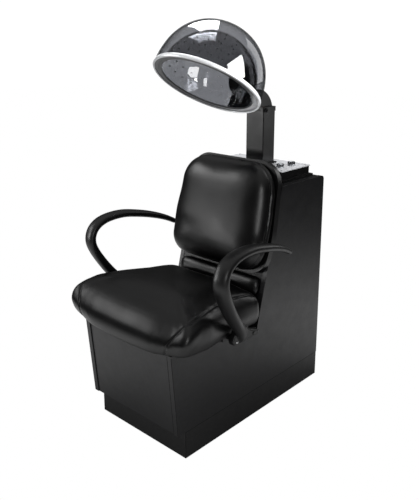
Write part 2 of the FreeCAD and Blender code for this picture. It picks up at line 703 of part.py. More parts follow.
def dome_solid(radius, height, fullness):
    points = [dome_point(radius, height, fullness, turn)
              for turn in (0, 8, 18, 30, 42, 54, 66, 78, 84)]
    points.append(V(0, 0, height))
    curve = Part.BSplineCurve()
    curve.interpolate(Points=points, InitialTangent=V(0, 0, 1), FinalTangent=V(-1, 0, 0))
    arcs = [arc.toShape() for arc in curve.toBiArcs(0.6)]
    crown = arcs[-1].Vertexes[-1].Point
    wire = Part.Wire(arcs + [Part.LineSegment(crown, V(0, 0, 0)).toShape(),
                             Part.LineSegment(V(0, 0, 0), V(radius, 0, 0)).toShape()])
    return Part.Face(wire).revolve(V(0, 0, 0), V(0, 0, 1), 360)


def dome_shell(radius, height, fullness, wall):
    outside = dome_solid(radius, height, fullness)
    return outside.cut(dome_solid(radius - wall, height - wall, fullness))


def air_holes(radius, height, fullness):
    """Rings of round holes through the inner shell, square to its surface."""
    holes = []
    for ring, (turn, count) in enumerate(((11, 26), (21, 24), (31, 21), (42, 18), (53, 14),
                                          (64, 10), (75, 5))):
        at = dome_point(radius, height, fullness, turn)
        out = V((at.x / radius) ** (fullness - 1) / radius, 0,
                (at.z / height) ** (fullness - 1) / height)
        out.normalize()
        drill = cylinder(AIR_HOLE_RADIUS, 16, tuple(at - out * 10), tuple(out))
        for k in range(count):
            around = 360.0 * (k + 0.25 + 0.5 * (ring % 2)) / count
            holes.append(drill.copy().rotate(V(0, 0, 0), V(0, 0, 1), around))
    return Part.makeCompound(holes)


inner_radius = HOOD_RADIUS - SHELL_WALL - SHELL_GAP
inner_height = HOOD_HEIGHT - SHELL_WALL - CROWN_GAP
outer_shell = dome_shell(HOOD_RADIUS, HOOD_HEIGHT, OUTER_FULLNESS, SHELL_WALL)
inner_shell = dome_shell(inner_radius, inner_height, INNER_FULLNESS, SHELL_WALL)
inner_shell = inner_shell.cut(air_holes(inner_radius, inner_height, INNER_FULLNESS))


def hood_rim():
    """Rolled trim ring that closes the space between the shells."""
    inside = inner_radius - SHELL_WALL - 1.5
    outside = HOOD_RADIUS + 1.5
    outline = [(inside, 0, 1.5), (outside, 0, 1.5), (outside, -RIM_DEPTH, 3.5),
               (inside + 2, -RIM_DEPTH, 3.5)]
    wire = rounded_wire([(V(r, 0, h), corner) for r, h, corner in outline])
    return Part.Face(wire).revolve(V(0, 0, 0), V(0, 0, 1), 360)


def placed(shape):
    moved = shape.copy()
    moved.Placement = HOOD_PLACE
    return moved


def grown_dome(extra):
    """The outer shell's dome, filled, and grown or shrunk."""
    return placed(dome_solid(HOOD_RADIUS + extra, HOOD_HEIGHT + extra, OUTER_FULLNESS))


dome_core = grown_dome(0)
dome_over = grown_dome(SADDLE_THICK)
AIR_PORT = box(-NECK_HALF + 5, NECK_HALF - 5, 100, 300, NECK_BOTTOM_Z + 9, NECK_TOP_Z - 9)


def saddle():
    """Curved plate that spreads the neck's load over the back of the outer shell."""
    outline = [(-52, 1117, 16), (52, 1117, 16), (44, 1214, 20), (-44, 1214, 20)]
    block = Part.Face(rounded_wire([(V(x, 120, z), r) for x, z, r in outline]))
    block = block.extrude(V(0, 160, 0))
    return block.common(dome_over).cut(dome_core).cut(AIR_PORT)


SADDLE_SCREWS = [(x, z) for x in (-41, 41) for z in (1132, 1192)]


def backing_plate():
    """Dished round plate inside the outer shell, that the saddle's screws clamp."""
    disc = cylinder(PLATE_RADIUS, 160, (0, 100, PLATE_CENTRE_Z), (0, 1, 0))
    return disc.common(grown_dome(-SHELL_WALL)).cut(grown_dome(-SHELL_WALL - 3)).cut(AIR_PORT)


def saddle_holes(radius):
    return Part.makeCompound([cylinder(radius, 190, (x, 120, z), (0, 1, 0))
                              for x, z in SADDLE_SCREWS])


def saddle_screw(x, z):
    """Dome-head screw through the saddle and the outer shell; its head sits on the saddle."""
    line = Part.LineSegment(V(x, 150, z), V(x, 260, z)).toShape()
    surface = max(vertex.Point.y for vertex in line.common(dome_over).Vertexes)
    head = cylinder(5.0, 6.0, (x, surface - 3.5, z), (0, 1, 0)).cut(dome_over)
    shank = cylinder(2.0, 14.0, (x, surface - 12, z), (0, 1, 0))
    return head.fuse(shank).removeSplitter()


def neck():
    """Hollow neck: a box section from the saddle, and a curved tail that rides in the post."""
    pivot = V(0, PIVOT_Y, PIVOT_Z)

    def ray(radius, degrees):
        turn = math.radians(degrees)
        return pivot + V(0, radius * math.cos(turn), radius * math.sin(turn))

    def form(inset, x):
        """Outline of the neck, or of its hollow when inset by the wall."""
        radius = NECK_RADIUS - inset
        shoulder = ray(radius, NECK_BACK_DEG)
        rise = NECK_TOP_Z - inset - shoulder.z
        wide = rise / (1 - math.sin(math.radians(NECK_BACK_DEG)))
        centre = V(0, shoulder.y - wide * math.cos(math.radians(NECK_BACK_DEG)),
                   NECK_TOP_Z - inset - wide)
        middle = math.radians((NECK_BACK_DEG + 90) / 2)
        top = centre + V(0, 0, wide)
        tail = ray(radius, -NECK_TAIL_DEG if not inset else -NECK_TAIL_DEG - 8)
        front_y_end = 130.0
        start = V(0, front_y_end, NECK_TOP_Z - inset)
        low = V(0, front_y_end, NECK_BOTTOM_Z + inset)
        lines = [(start, top)]
        if inset:
            chain = [tail, ray(40, -75), ray(BARREL_RADIUS + 3, -60), ray(BARREL_RADIUS + 3, 20),
                     V(0, PIVOT_Y - 4, NECK_BOTTOM_Z + inset), low, start]
        else:
            chain = [tail, ray(BARREL_RADIUS + 2, -60), ray(BARREL_RADIUS, -90),
                     ray(BARREL_RADIUS, -135), ray(BARREL_RADIUS, 180),
                     V(0, PIVOT_Y - BARREL_RADIUS, NECK_BOTTOM_Z - 8),
                     V(0, PIVOT_Y - 16, NECK_BOTTOM_Z), low, start]
        lines += list(zip(chain, chain[1:]))
        edges = [Part.LineSegment(p, q).toShape() for p, q in lines]
        over = centre + V(0, wide * math.cos(middle), wide * math.sin(middle))
        edges.insert(1, Part.Arc(top, over, shoulder).toShape())
        edges.insert(2, Part.Arc(shoulder, ray(radius, -8), tail).toShape())
        face = Part.Face(Part.Wire(edges))
        face.translate(V(-x, 0, 0))
        return face.extrude(V(2 * x, 0, 0))

    barrel = cylinder(BARREL_RADIUS, 2 * NECK_HALF, (-NECK_HALF, PIVOT_Y, PIVOT_Z), (1, 0, 0))
    whole = form(0, NECK_HALF).cut(form(NECK_WALL, NECK_HALF - NECK_WALL)).fuse(barrel)
    bore = cylinder(PIN_RADIUS + RUNNING_CLEARANCE, 90, (-45, PIVOT_Y, PIVOT_Z), (1, 0, 0))
    return whole.cut(bore).cut(dome_over).cut(box(-60, 60, 100, 168, 1000, 1300))


saddle_solid = saddle().cut(saddle_holes(2.0))
outer_placed = placed(outer_shell).cut(AIR_PORT).cut(saddle_holes(2.0))
save("hood_outer_shell", outer_placed)
save("hood_inner_shell", placed(inner_shell))
save("hood_rim", placed(hood_rim()))
save("hood_saddle", saddle_solid)
save("hood_backplate", backing_plate().cut(saddle_holes(2.0)))
save("saddle_screws", Part.makeCompound([saddle_screw(x, z) for x, z in SADDLE_SCREWS]))
save("neck_duct", neck())


# ---------------------------------------------------------------- blower and heater
BLOWER_X = -42.0
BLOWER_Z = 690.0
SCROLL_RADIUS = 86.0
WHEEL_RADIUS = 62.0
SHAFT = 4.0
SCROLL_WALL = 1.5


def blower_scroll():
    """Sheet scroll round the fan wheel; its outlet meets the foot of the duct post."""
    def form(inset, extra):
        y0, y1 = POST_FRONT_Y + inset, POST_REAR_Y - inset
        drum = cylinder(SCROLL_RADIUS - inset, y1 - y0, (BLOWER_X, y0, BLOWER_Z), (0, 1, 0))
        outlet = box(-POST_HALF + inset, POST_HALF - inset, y0, y1, BLOWER_Z, POST_BOTTOM_Z + extra)
        return drum.fuse(outlet)
    intake = cylinder(44.0, 10, (BLOWER_X, POST_REAR_Y - 5, BLOWER_Z), (0, 1, 0))
    collar_hole = cylinder(16.0, 10, (BLOWER_X, POST_FRONT_Y - 5, BLOWER_Z), (0, 1, 0))
    return form(0, 0).cut(form(SCROLL_WALL, 5)).cut(intake).cut(collar_hole)


def fan_wheel():
    """Forward-curved drum wheel: hub, back disc, vanes and a front ring."""
    y0, y1 = 288.0, 336.0
    centre = (BLOWER_X, y0, BLOWER_Z)
    disc = cylinder(WHEEL_RADIUS, 1.5, centre, (0, 1, 0))
    hub = cylinder(11.0, 20.0, centre, (0, 1, 0))
    ring = cylinder(WHEEL_RADIUS, 3.0, (BLOWER_X, y1 - 3, BLOWER_Z), (0, 1, 0))
    ring = ring.cut(cylinder(WHEEL_RADIUS - 12, 5.0, (BLOWER_X, y1 - 4, BLOWER_Z), (0, 1, 0)))
    vanes = []
    for k in range(24):
        vane = box(WHEEL_RADIUS - 11, WHEEL_RADIUS - 1, y0 + 1, y1 - 2.5, -0.7, 0.7)
        vane.rotate(V(WHEEL_RADIUS - 6, 0, 0), V(0, 1, 0), 35)
        vane.rotate(V(0, 0, 0), V(0, 1, 0), 360.0 * k / 24)
        vane.translate(V(BLOWER_X, 0, BLOWER_Z))
        vanes.append(vane)
    return fused([disc, hub, ring] + vanes).cut(
        cylinder(SHAFT, 60, (BLOWER_X, y0 - 5, BLOWER_Z), (0, 1, 0)))


MOTOR_FRONT_Y = 214.0
MOTOR_REAR_Y = POST_FRONT_Y - 2.0


def motor():
    """Shaded-pole motor with a stepped end bell and four feet on the scroll."""
    can = cylinder(38.0, 44.0, (BLOWER_X, MOTOR_REAR_Y - 50, BLOWER_Z), (0, 1, 0))
    bell = cylinder(24.0, MOTOR_REAR_Y - 50 - MOTOR_FRONT_Y, (BLOWER_X, MOTOR_FRONT_Y, BLOWER_Z),
                    (0, 1, 0))
    boss = cylinder(14.0, 8.0, (BLOWER_X, MOTOR_REAR_Y - 6, BLOWER_Z), (0, 1, 0))
    feet = []
    for turn in (45, 135, 225, 315):
        reach = 31.0
        foot = (BLOWER_X + reach * math.cos(math.radians(turn)), MOTOR_REAR_Y - 8,
                BLOWER_Z + reach * math.sin(math.radians(turn)))
        feet.append(cylinder(4.0, 10.0, foot, (0, 1, 0)))
    bore = cylinder(SHAFT + RUNNING_CLEARANCE, 90, (BLOWER_X, MOTOR_FRONT_Y + 8, BLOWER_Z),
                    (0, 1, 0))
    return fused([can, bell, boss] + feet).cut(bore)


save("blower_scroll", blower_scroll())
save("fan_wheel", fan_wheel())
save("motor_shaft", cylinder(SHAFT, 80.0, (BLOWER_X, MOTOR_FRONT_Y + 9, BLOWER_Z), (0, 1, 0)))
save("blower_motor", motor())


def heater_frame():
    """Three mica boards across the post, tied by two edge strips."""
    boards = [box(-34, 34, y, y + 1.2, 800, 880) for y in (296, 312, 328)]
    strips = [box(x, x + 1.2, 290, 336, 800, 880) for x in (-35.2, 34)]
    return fused(boards + strips)


def heater_coils():
    """Straight resistance-coil runs held on the front of each board."""
    runs = [cylinder(2.6, 66, (-33, y - 2.6, z), (1, 0, 0))
            for y in (296, 312, 328) for z in (812, 826, 840, 854, 868)]
    return Part.makeCompound(runs)


save("heater_frame", heater_frame())
save("heater_coils", heater_coils())
save("thermal_cutout", cylinder(8.0, 7.0, (POST_HALF, 312, 824), (1, 0, 0)).fuse(
    box(POST_HALF, POST_HALF + 1.2, 300, 324, 814, 834)).removeSplitter())
save("intake_filter", box(-112, 112, REAR_Y - 14, REAR_Y - 4.2, 630, 796))

terminals = box(INSIDE - 22, INSIDE, 350, 400, 700, 722)
for step in range(4):
    terminals = terminals.cut(cylinder(3.0, 8, (INSIDE - 24, 357 + 12 * step, 711), (1, 0, 0)))
save("terminal_block", terminals)


def power_inlet():
    """Recessed appliance inlet with three blades, in the rear panel."""
    face = box(-166, -124, REAR_Y - 2.5, REAR_Y, 146, 182)
    body = box(-160, -130, REAR_Y - 26, REAR_Y - 2.5, 152, 176)
    recess = box(-156.5, -133.5, REAR_Y - 22, REAR_Y + 1, 156, 172)
    blades = [box(x - 1, x + 1, REAR_Y - 22.5, REAR_Y - 6, z - 3, z + 3)
              for x, z in ((-152, 162), (-138, 162), (-145, 167))]
    return fused([face.fuse(body).cut(recess)] + blades)


save("power_inlet", power_inlet())
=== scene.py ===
import bpy
import json
import math
from mathutils import Matrix, Vector
from mathutils.bvhtree import BVHTree
from mathutils.kdtree import KDTree
import numpy


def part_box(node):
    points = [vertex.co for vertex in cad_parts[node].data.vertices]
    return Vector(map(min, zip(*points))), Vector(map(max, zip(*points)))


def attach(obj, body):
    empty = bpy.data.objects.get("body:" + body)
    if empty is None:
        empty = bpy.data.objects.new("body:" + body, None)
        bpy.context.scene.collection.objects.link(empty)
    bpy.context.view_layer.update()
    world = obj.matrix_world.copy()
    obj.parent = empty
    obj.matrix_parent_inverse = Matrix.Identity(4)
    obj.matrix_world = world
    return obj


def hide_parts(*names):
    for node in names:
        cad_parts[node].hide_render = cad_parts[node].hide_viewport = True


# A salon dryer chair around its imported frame: upholstery, arms and trim are made here, the rest of
# the pieces are the CAD nodes in better materials. Metres, +X the sitter's left, -Y the way the
# sitter faces, +Z up.

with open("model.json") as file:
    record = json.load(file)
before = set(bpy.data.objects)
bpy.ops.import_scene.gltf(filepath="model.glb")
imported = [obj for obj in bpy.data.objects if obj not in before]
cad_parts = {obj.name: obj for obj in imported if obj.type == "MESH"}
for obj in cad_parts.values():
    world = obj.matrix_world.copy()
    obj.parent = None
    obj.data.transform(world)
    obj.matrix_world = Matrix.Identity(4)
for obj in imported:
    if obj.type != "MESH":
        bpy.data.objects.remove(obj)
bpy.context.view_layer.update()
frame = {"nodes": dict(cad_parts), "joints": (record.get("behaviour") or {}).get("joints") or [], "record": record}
nodes = frame["nodes"]
pivots = {joint["name"]: Vector(joint["pos_m"]) for joint in frame["joints"]}


# -------------------- camera and light
CAMERA_AT = (1.5648, -1.6815, 1.3955)
CAMERA_TURN_DEG = 42.66
CAMERA_PITCH_DEG = 14.45
CAMERA_LENS_MM = 46.42
CAMERA_SHIFT_Y = -0.1
LIGHT_AIM = Vector((0.0, 0.0, 1.25))
WORLD_SEEN = 1.05
WORLD_HORIZON = 0.05
WORLD_ZENITH = 0.70
WORLD_RISE = (0.3, 1.0)     # how far up a ray points where the light starts and stops growing
FLOOR_HALF = 14.0
FLOOR_FAR = 4.0
# (metres from the middle, how bright the floor glows in the chair's gloss): painted light, with painted shadow
# right under the chair and a painted fall-off far away
FLOOR_PAINTED_LIGHT = ((0.0, 0.04), (0.5, 0.20), (0.7, 0.60), (1.1, 0.95), (1.6, 0.60), (2.6, 0.11),
               (FLOOR_FAR, 0.04))


def make_camera():
    camera = bpy.data.cameras.new("camera")
    camera.lens = CAMERA_LENS_MM
    camera.shift_y = CAMERA_SHIFT_Y
    holder = bpy.data.objects.new("camera", camera)
    holder.location = CAMERA_AT
    holder.rotation_euler = (math.radians(90 - CAMERA_PITCH_DEG), 0, math.radians(CAMERA_TURN_DEG))
    bpy.context.collection.objects.link(holder)
    bpy.context.scene.camera = holder


def plain_view():
    """Colours as they are lit, and enough see-through surfaces for a shell inside a shell."""
    scene = bpy.context.scene
    scene.view_settings.view_transform = "Standard"
    scene.view_settings.look = "None"
    scene.cycles.transparent_max_bounces = 32


def direction(azimuth_deg, elevation_deg):
    """Azimuth turns from straight in front of the sitter, -Y, towards +X."""
    azimuth, elevation = math.radians(azimuth_deg), math.radians(elevation_deg)
    return Vector((math.sin(azimuth) * math.cos(elevation), -math.cos(azimuth) * math.cos(elevation),
                   math.sin(elevation)))


def softbox(name, azimuth, elevation, distance, width, height, radiance, only=None, skips=None):
    """Rectangular light that faces the chair; radiance is how bright its face looks in a gloss.

    Angles are in degrees. It lights matt surfaces too where it is for only some objects.
    """
    light = bpy.data.lights.new(name, "AREA")
    light.shape = "RECTANGLE"
    light.size = width
    light.size_y = height
    light.energy = radiance * width * height * 4
    holder = bpy.data.objects.new(name, light)
    away = direction(azimuth, elevation)
    holder.location = LIGHT_AIM + away * distance
    holder.rotation_euler = away.to_track_quat("Z", "Y").to_euler()
    holder.visible_camera = False
    holder.visible_diffuse = bool(only)
    bpy.context.collection.objects.link(holder)
    if only or skips:
        lit = bpy.data.collections.new(name + "_lights")
        for obj in only or skips:
            lit.objects.link(obj)
        for row in lit.collection_objects:
            row.light_linking.link_state = "INCLUDE" if only else "EXCLUDE"
        holder.light_linking.receiver_collection = lit


def make_lights(seat, arms, band):
    """Softboxes, each where the surfaces it is for reflect it to the camera."""
    outside = [nodes[name] for name in ("hood_outer_shell", "control_plate", "timer_knob",
                                        "heat_knob")] + [band]
    inside = [nodes["hood_inner_shell"]]
    post = [nodes[name] for name in ("post_duct", "post_collar", "neck_duct")]
    softbox("box_overhead", -131, 55, 3.2, 1.4, 2.2, 18.0, outside + inside)
    softbox("box_window", 106, 22, 3.2, 1.8, 1.5, 18.0, outside)
    softbox("box_bowl", 82, -20, 2.4, 1.1, 1.0, 9.0, inside)
    softbox("box_bowl_high", 82, 7, 2.4, 1.1, 1.1, 24.0, inside)
    softbox("box_rim", -38, 14, 3.0, 1.6, 1.2, 5.0, [band])
    softbox("box_post_side", 141, -6, 3.4, 1.2, 1.0, 0.8, post)
    softbox("box_arm", -36, -2, 3.2, 1.3, 1.1, 4.5, arms)
    softbox("box_seat", -50, 14, 3.6, 1.9, 0.9, 2.7, [seat])
    softbox("box_front", -54, 19, 3.6, 1.9, 1.0, 4.8, skips=[seat])
    softbox("box_post", -40, -7, 3.6, 1.6, 0.5, 5.0, skips=[seat])
    softbox("box_edge", 49, 6, 3.6, 0.5, 1.4, 8.0)
    softbox("box_rear", 168, 15, 3.4, 1.3, 2.4, 1.2)


def wiring(tree):
    """add(kind, {input: value}), which makes a shader node, and join(output, input)."""
    def add(kind, values=()):
        node = tree.nodes.new(kind)
        for socket in values:
            node.inputs[socket].default_value = values[socket]
        return node
    return add, tree.links.new


def finish_by_eye(tree, seen, lit, output):
    """Shows one shader to the camera, and another one to the chair's gloss."""
    add, join = wiring(tree)
    rays = add("ShaderNodeLightPath")
    mix = add("ShaderNodeMixShader")
    out = add(output)
    join(rays.outputs["Is Camera Ray"], mix.inputs["Fac"])
    join(lit.outputs[0], mix.inputs[1])
    join(seen.outputs[0], mix.inputs[2])
    join(mix.outputs[0], out.inputs["Surface"])


def make_world():
    """White to the eye, dimmer as a light, so that dark gloss stays dark."""
    world = bpy.data.worlds.new("studio")
    world.use_nodes = True
    bpy.context.scene.world = world
    tree = world.node_tree
    tree.nodes.clear()
    add, join = wiring(tree)
    seen = add("ShaderNodeBackground", {"Color": (1, 1, 1, 1), "Strength": WORLD_SEEN})
    lit = add("ShaderNodeBackground")
    place = add("ShaderNodeTexCoord")
    split = add("ShaderNodeSeparateXYZ")
    height = add("ShaderNodeMapRange", {"From Min": WORLD_RISE[0], "From Max": WORLD_RISE[1],
                                        "To Min": WORLD_HORIZON, "To Max": WORLD_ZENITH})
    join(place.outputs["Generated"], split.inputs[0])
    join(split.outputs["Z"], height.inputs["Value"])
    join(height.outputs["Result"], lit.inputs["Strength"])
    finish_by_eye(tree, seen, lit, "ShaderNodeOutputWorld")


def make_floor():
    """White floor. In the chair's gloss it glows with painted light: darker right under the chair, a painted
    shadow, and darker again far away, a painted fall-off.
    """
    mesh = bpy.data.meshes.new("floor")
    mesh.from_pydata([(x * FLOOR_HALF, y * FLOOR_HALF, 0)
                      for x, y in ((-1, -1), (1, -1), (1, 1), (-1, 1))], [], [(0, 1, 2, 3)])
    floor = bpy.data.objects.new("floor", mesh)
    bpy.context.collection.objects.link(floor)
    material = bpy.data.materials.new("floor_white")
    material.use_nodes = True
    tree = material.node_tree
    tree.nodes.clear()
    add, join = wiring(tree)
    place = add("ShaderNodeTexCoord")
    distance = add("ShaderNodeVectorMath")
    distance.operation = "LENGTH"
    share = add("ShaderNodeMath")
    share.operation = "DIVIDE"
    share.inputs[1].default_value = FLOOR_FAR
    ramp = add("ShaderNodeValToRGB")
    points = ramp.color_ramp.elements
    points[0].position, points[1].position = 0.0, 1.0
    for radius, _ in FLOOR_PAINTED_LIGHT[1:-1]:
        points.new(radius / FLOOR_FAR)
    for point, (radius, light) in zip(points, FLOOR_PAINTED_LIGHT):
        point.position = radius / FLOOR_FAR
        point.color = (light, light, light, 1)
    seen = add("ShaderNodeEmission")
    lit = add("ShaderNodeEmission")
    join(place.outputs["Object"], distance.inputs[0])
    join(distance.outputs["Value"], share.inputs[0])
    join(share.outputs[0], ramp.inputs["Fac"])
    # Painted light: this ramp sets the floor's glow for the chair's gloss, with painted shadow under the chair.
    join(ramp.outputs["Color"], lit.inputs["Color"])
    finish_by_eye(tree, seen, lit, "ShaderNodeOutputMaterial")
    mesh.materials.append(material)


# -------------------- materials
PATTERN_MIDDLE = (0.3, 0.7)     # the part of a pattern's range that most of it lies in


class Finish:
    """A Principled material, with its pattern laid out in metres on the object itself.

    A pattern's first number is how many of its grains go into a metre.
    """

    def __init__(self, name, colour, roughness, metallic=0.0):
        self.material = bpy.data.materials.new(name)
        self.material.use_nodes = True
        tree = self.material.node_tree
        self.add, self.join = wiring(tree)
        self.shader = tree.nodes["Principled BSDF"]
        self.colour = colour
        self.roughness = roughness
        self.shader.inputs["Base Color"].default_value = (*colour, 1)
        self.shader.inputs["Roughness"].default_value = roughness
        self.shader.inputs["Metallic"].default_value = metallic
        self.material.diffuse_color = (*colour, 1)
        self.place = self.add("ShaderNodeTexCoord").outputs["Object"]
        self.last_bump = None

    def noise(self, per_metre, detail=4.0, stretch=None):
        texture = self.add("ShaderNodeTexNoise", {"Scale": per_metre, "Detail": detail})
        place = self.place
        if stretch:
            mapping = self.add("ShaderNodeMapping", {"Scale": stretch})
            self.join(place, mapping.inputs["Vector"])
            place = mapping.outputs["Vector"]
        self.join(place, texture.inputs["Vector"])
        return texture.outputs["Fac"]

    def cells(self, per_metre, feature="F1"):
        texture = self.add("ShaderNodeTexVoronoi")
        texture.feature = feature
        texture.inputs["Scale"].default_value = per_metre
        self.join(self.place, texture.inputs["Vector"])
        return texture.outputs["Distance"]

    def span(self, value, low, high):
        """Maps the middle of a pattern's range onto low to high."""
        start, end = PATTERN_MIDDLE
        node = self.add("ShaderNodeMapRange", {"From Min": start, "From Max": end, "To Min": low,
                                               "To Max": high})
        self.join(value, node.inputs["Value"])
        return node.outputs["Result"]

    def vary_colour(self, value, low, high):
        ramp = self.add("ShaderNodeValToRGB")
        for point, at, share in zip(ramp.color_ramp.elements, PATTERN_MIDDLE, (low, high)):
            point.position = at
            point.color = (*[min(c * share, 1) for c in self.colour], 1)
        self.join(value, ramp.inputs["Fac"])
        self.join(ramp.outputs["Color"], self.shader.inputs["Base Color"])

    def vary_roughness(self, value, change):
        self.join(self.span(value, self.roughness - change, self.roughness + change),
                  self.shader.inputs["Roughness"])

    def bump(self, value, height, strength=1.0):
        """Adds relief of that height in metres; each call lies on the one before."""
        node = self.add("ShaderNodeBump", {"Strength": strength, "Distance": height})
        self.join(value, node.inputs["Height"])
        if self.last_bump:
            self.join(self.last_bump, node.inputs["Normal"])
        self.last_bump = node.outputs["Normal"]
        self.join(self.last_bump, self.shader.inputs["Normal"])


def coat(name, colour, roughness, mottle, rub, grain, metallic=0.0):
    """Mottled colour (pattern, darkest, lightest), rubbed gloss (pattern, change of roughness)
    and fine grain (pattern, height, strength); a pattern is what Finish.noise takes."""
    finish = Finish(name, colour, roughness, metallic)
    finish.vary_colour(finish.noise(*mottle[0]), *mottle[1:])
    finish.vary_roughness(finish.noise(*rub[0]), rub[1])
    finish.bump(finish.noise(*grain[0]), *grain[1:])
    return finish.material


def laminate():
    return coat("charcoal_laminate", (0.012, 0.012, 0.0135), 0.36, ((60, 5), 0.8, 1.25),
                ((24, 5), 0.05), ((420, 6), 0.00012, 0.5))


def plinth_laminate():
    return coat("plinth_laminate", (0.0115, 0.0115, 0.0122), 0.45, ((60, 5), 0.75, 1.3),
                ((18, 5), 0.06), ((380, 6), 0.00012, 0.5))


def arm_urethane():
    return coat("black_urethane", (0.005, 0.005, 0.0055), 0.40, ((22, 4), 0.8, 1.3),
                ((16, 6), 0.05), ((900, 5), 0.00008, 0.5))


def black_metal():
    return coat("black_powder_coat", (0.005, 0.005, 0.0055), 0.32, ((26, 4), 0.8, 1.3),
                ((16, 5), 0.05), ((1300, 3), 0.00008, 0.6))


def metal(name, colour, roughness, brushed=None):
    return coat(name, colour, roughness, ((35, 5), 0.9, 1.05),
                ((70, 6, brushed), roughness * 0.4), ((500, 5, brushed), 0.00004, 0.4), 1.0)


def satin(name, colour, roughness, metallic):
    """Satin-plated or silver-painted trim, which stays bright in a dark studio."""
    return coat(name, colour, roughness, ((35, 5), 0.95, 1.03), ((70, 6), 0.06),
                ((500, 5), 0.00003, 0.3), metallic)


def board_core():
    finish = Finish("board_core", (0.30, 0.20, 0.12), 0.75)
    finish.vary_colour(finish.noise(900, 6), 0.6, 1.3)
    finish.bump(finish.noise(1400, 4), 0.0002)
    return finish.material


def vinyl():
    """Black upholstery vinyl: fine leather grain, gloss that changes a little where it is rubbed."""
    finish = Finish("black_vinyl", (0.0035, 0.0035, 0.0038), 0.34)
    finish.vary_colour(finish.noise(14, 4), 0.8, 1.3)
    finish.vary_roughness(finish.noise(9, 5), 0.035)
    finish.bump(finish.cells(620, "SMOOTH_F1"), 0.00010, 0.35)
    finish.bump(finish.noise(1500, 3), 0.00005, 0.4)
    return finish.material


def thread():
    finish = Finish("black_thread", (0.016, 0.016, 0.018), 0.5)
    finish.vary_colour(finish.noise(2500, 2), 0.6, 1.5)
    finish.bump(finish.noise(3000, 2, (1, 1, 4)), 0.0001)
    return finish.material


def shell_plastic():
    finish = Finish("black_shell_plastic", (0.005, 0.005, 0.0055), 0.34)
    finish.vary_roughness(finish.noise(14, 5), 0.05)
    finish.vary_colour(finish.noise(30, 3), 0.85, 1.2)
    finish.bump(finish.cells(1100), 0.00010, 0.5)
    return finish.material


def dull(name, colour, roughness, grain):
    """Plain moulded or pressed stuff inside the cabinet."""
    finish = Finish(name, colour, roughness)
    finish.vary_colour(finish.noise(grain, 5), 0.75, 1.2)
    finish.bump(finish.noise(grain * 3, 4), 0.0002)
    return finish.material


HEAD_ON_GLOSS = 0.04        # share of the light that acrylic mirrors when it is seen head on
SHELL_EDGE = (0.35, 0.95)   # how far a shell turns away where its lighter edge colour, tint with painted sheen, starts, and is full


def smoked_clear(name, tint, edge_tint_and_sheen):
    """Clear smoked acrylic: gloss by angle over a tinted view through, no bending of light; the view through turns
    lighter towards a shell's edges, a painted sheen.
    """
    material = bpy.data.materials.new(name)
    material.use_nodes = True
    tree = material.node_tree
    tree.nodes.clear()
    add, join = wiring(tree)
    through = add("ShaderNodeBsdfTransparent")
    gloss = add("ShaderNodeBsdfGlossy", {"Color": (1, 1, 1, 1), "Roughness": 0.04})
    angle = add("ShaderNodeLayerWeight", {"Blend": 0.5})
    shade = add("ShaderNodeValToRGB")
    shade.color_ramp.interpolation = "EASE"
    for point, at, colour in zip(shade.color_ramp.elements, SHELL_EDGE, (tint, edge_tint_and_sheen)):
        point.position = at
        point.color = (*colour, 1)
    steep = add("ShaderNodeMath")
    steep.operation = "POWER"
    steep.inputs[1].default_value = 5.0
    share = add("ShaderNodeMath")
    share.operation = "MULTIPLY_ADD"
    share.inputs[1].default_value = 1 - HEAD_ON_GLOSS
    share.inputs[2].default_value = HEAD_ON_GLOSS
    place = add("ShaderNodeTexCoord")
    ripple = add("ShaderNodeTexNoise", {"Scale": 9.0, "Detail": 2.0})
    relief = add("ShaderNodeBump", {"Strength": 0.12, "Distance": 0.002})
    mix = add("ShaderNodeMixShader")
    out = add("ShaderNodeOutputMaterial")
    join(place.outputs["Object"], ripple.inputs["Vector"])
    join(ripple.outputs["Fac"], relief.inputs["Height"])
    join(relief.outputs["Normal"], gloss.inputs["Normal"])
    join(angle.outputs["Facing"], shade.inputs["Fac"])
    join(shade.outputs["Color"], through.inputs["Color"])
    join(angle.outputs["Facing"], steep.inputs[0])
    join(steep.outputs[0], share.inputs[0])
    join(share.outputs[0], mix.inputs["Fac"])
    join(through.outputs[0], mix.inputs[1])
    join(gloss.outputs[0], mix.inputs[2])
    join(mix.outputs[0], out.inputs["Surface"])
    material.diffuse_color = (*tint, 0.4)
    return material


def make_finishes():
    """One material for each of the record's slots, and one for thread."""
    return {
        "laminate": laminate(),
        "plinth_laminate": plinth_laminate(),
        "board_core": board_core(),
        "vinyl": vinyl(),
        "thread": thread(),
        "shell_plastic": shell_plastic(),
        "arm_urethane": arm_urethane(),
        "black_metal": black_metal(),
        "chrome_plate": satin("plate_silver", (0.42, 0.425, 0.44), 0.34, 0.5),
        "screw_steel": metal("screw_steel", (0.45, 0.45, 0.46), 0.28),
        "smoked_clear": smoked_clear("smoked_outer", (0.66, 0.665, 0.68),
                                     (0.68, 0.685, 0.70)),
        "silver_trim": satin("silver_trim", (0.88, 0.89, 0.91), 0.36, 0.35),
        "rim_grey": dull("rim_grey", (0.11, 0.113, 0.12), 0.3, 60),
        "knob_black": dull("knob_black", (0.02, 0.02, 0.02), 0.35, 300),
        "switch_black": dull("switch_black", (0.015, 0.015, 0.016), 0.3, 300),
        "galvanised": metal("galvanised", (0.50, 0.52, 0.54), 0.38),
        "aluminium": metal("aluminium", (0.70, 0.70, 0.72), 0.32, (1, 1, 8)),
        "mica": dull("mica", (0.55, 0.50, 0.40), 0.5, 400),
        "resistance_wire": metal("resistance_wire", (0.35, 0.30, 0.27), 0.45),
        "filter_foam": dull("filter_foam", (0.06, 0.06, 0.065), 0.95, 700),
        "terminal_plastic": dull("terminal_plastic", (0.62, 0.60, 0.55), 0.45, 250),
        "friction_fibre": dull("friction_fibre", (0.10, 0.07, 0.05), 0.8, 600),
    }


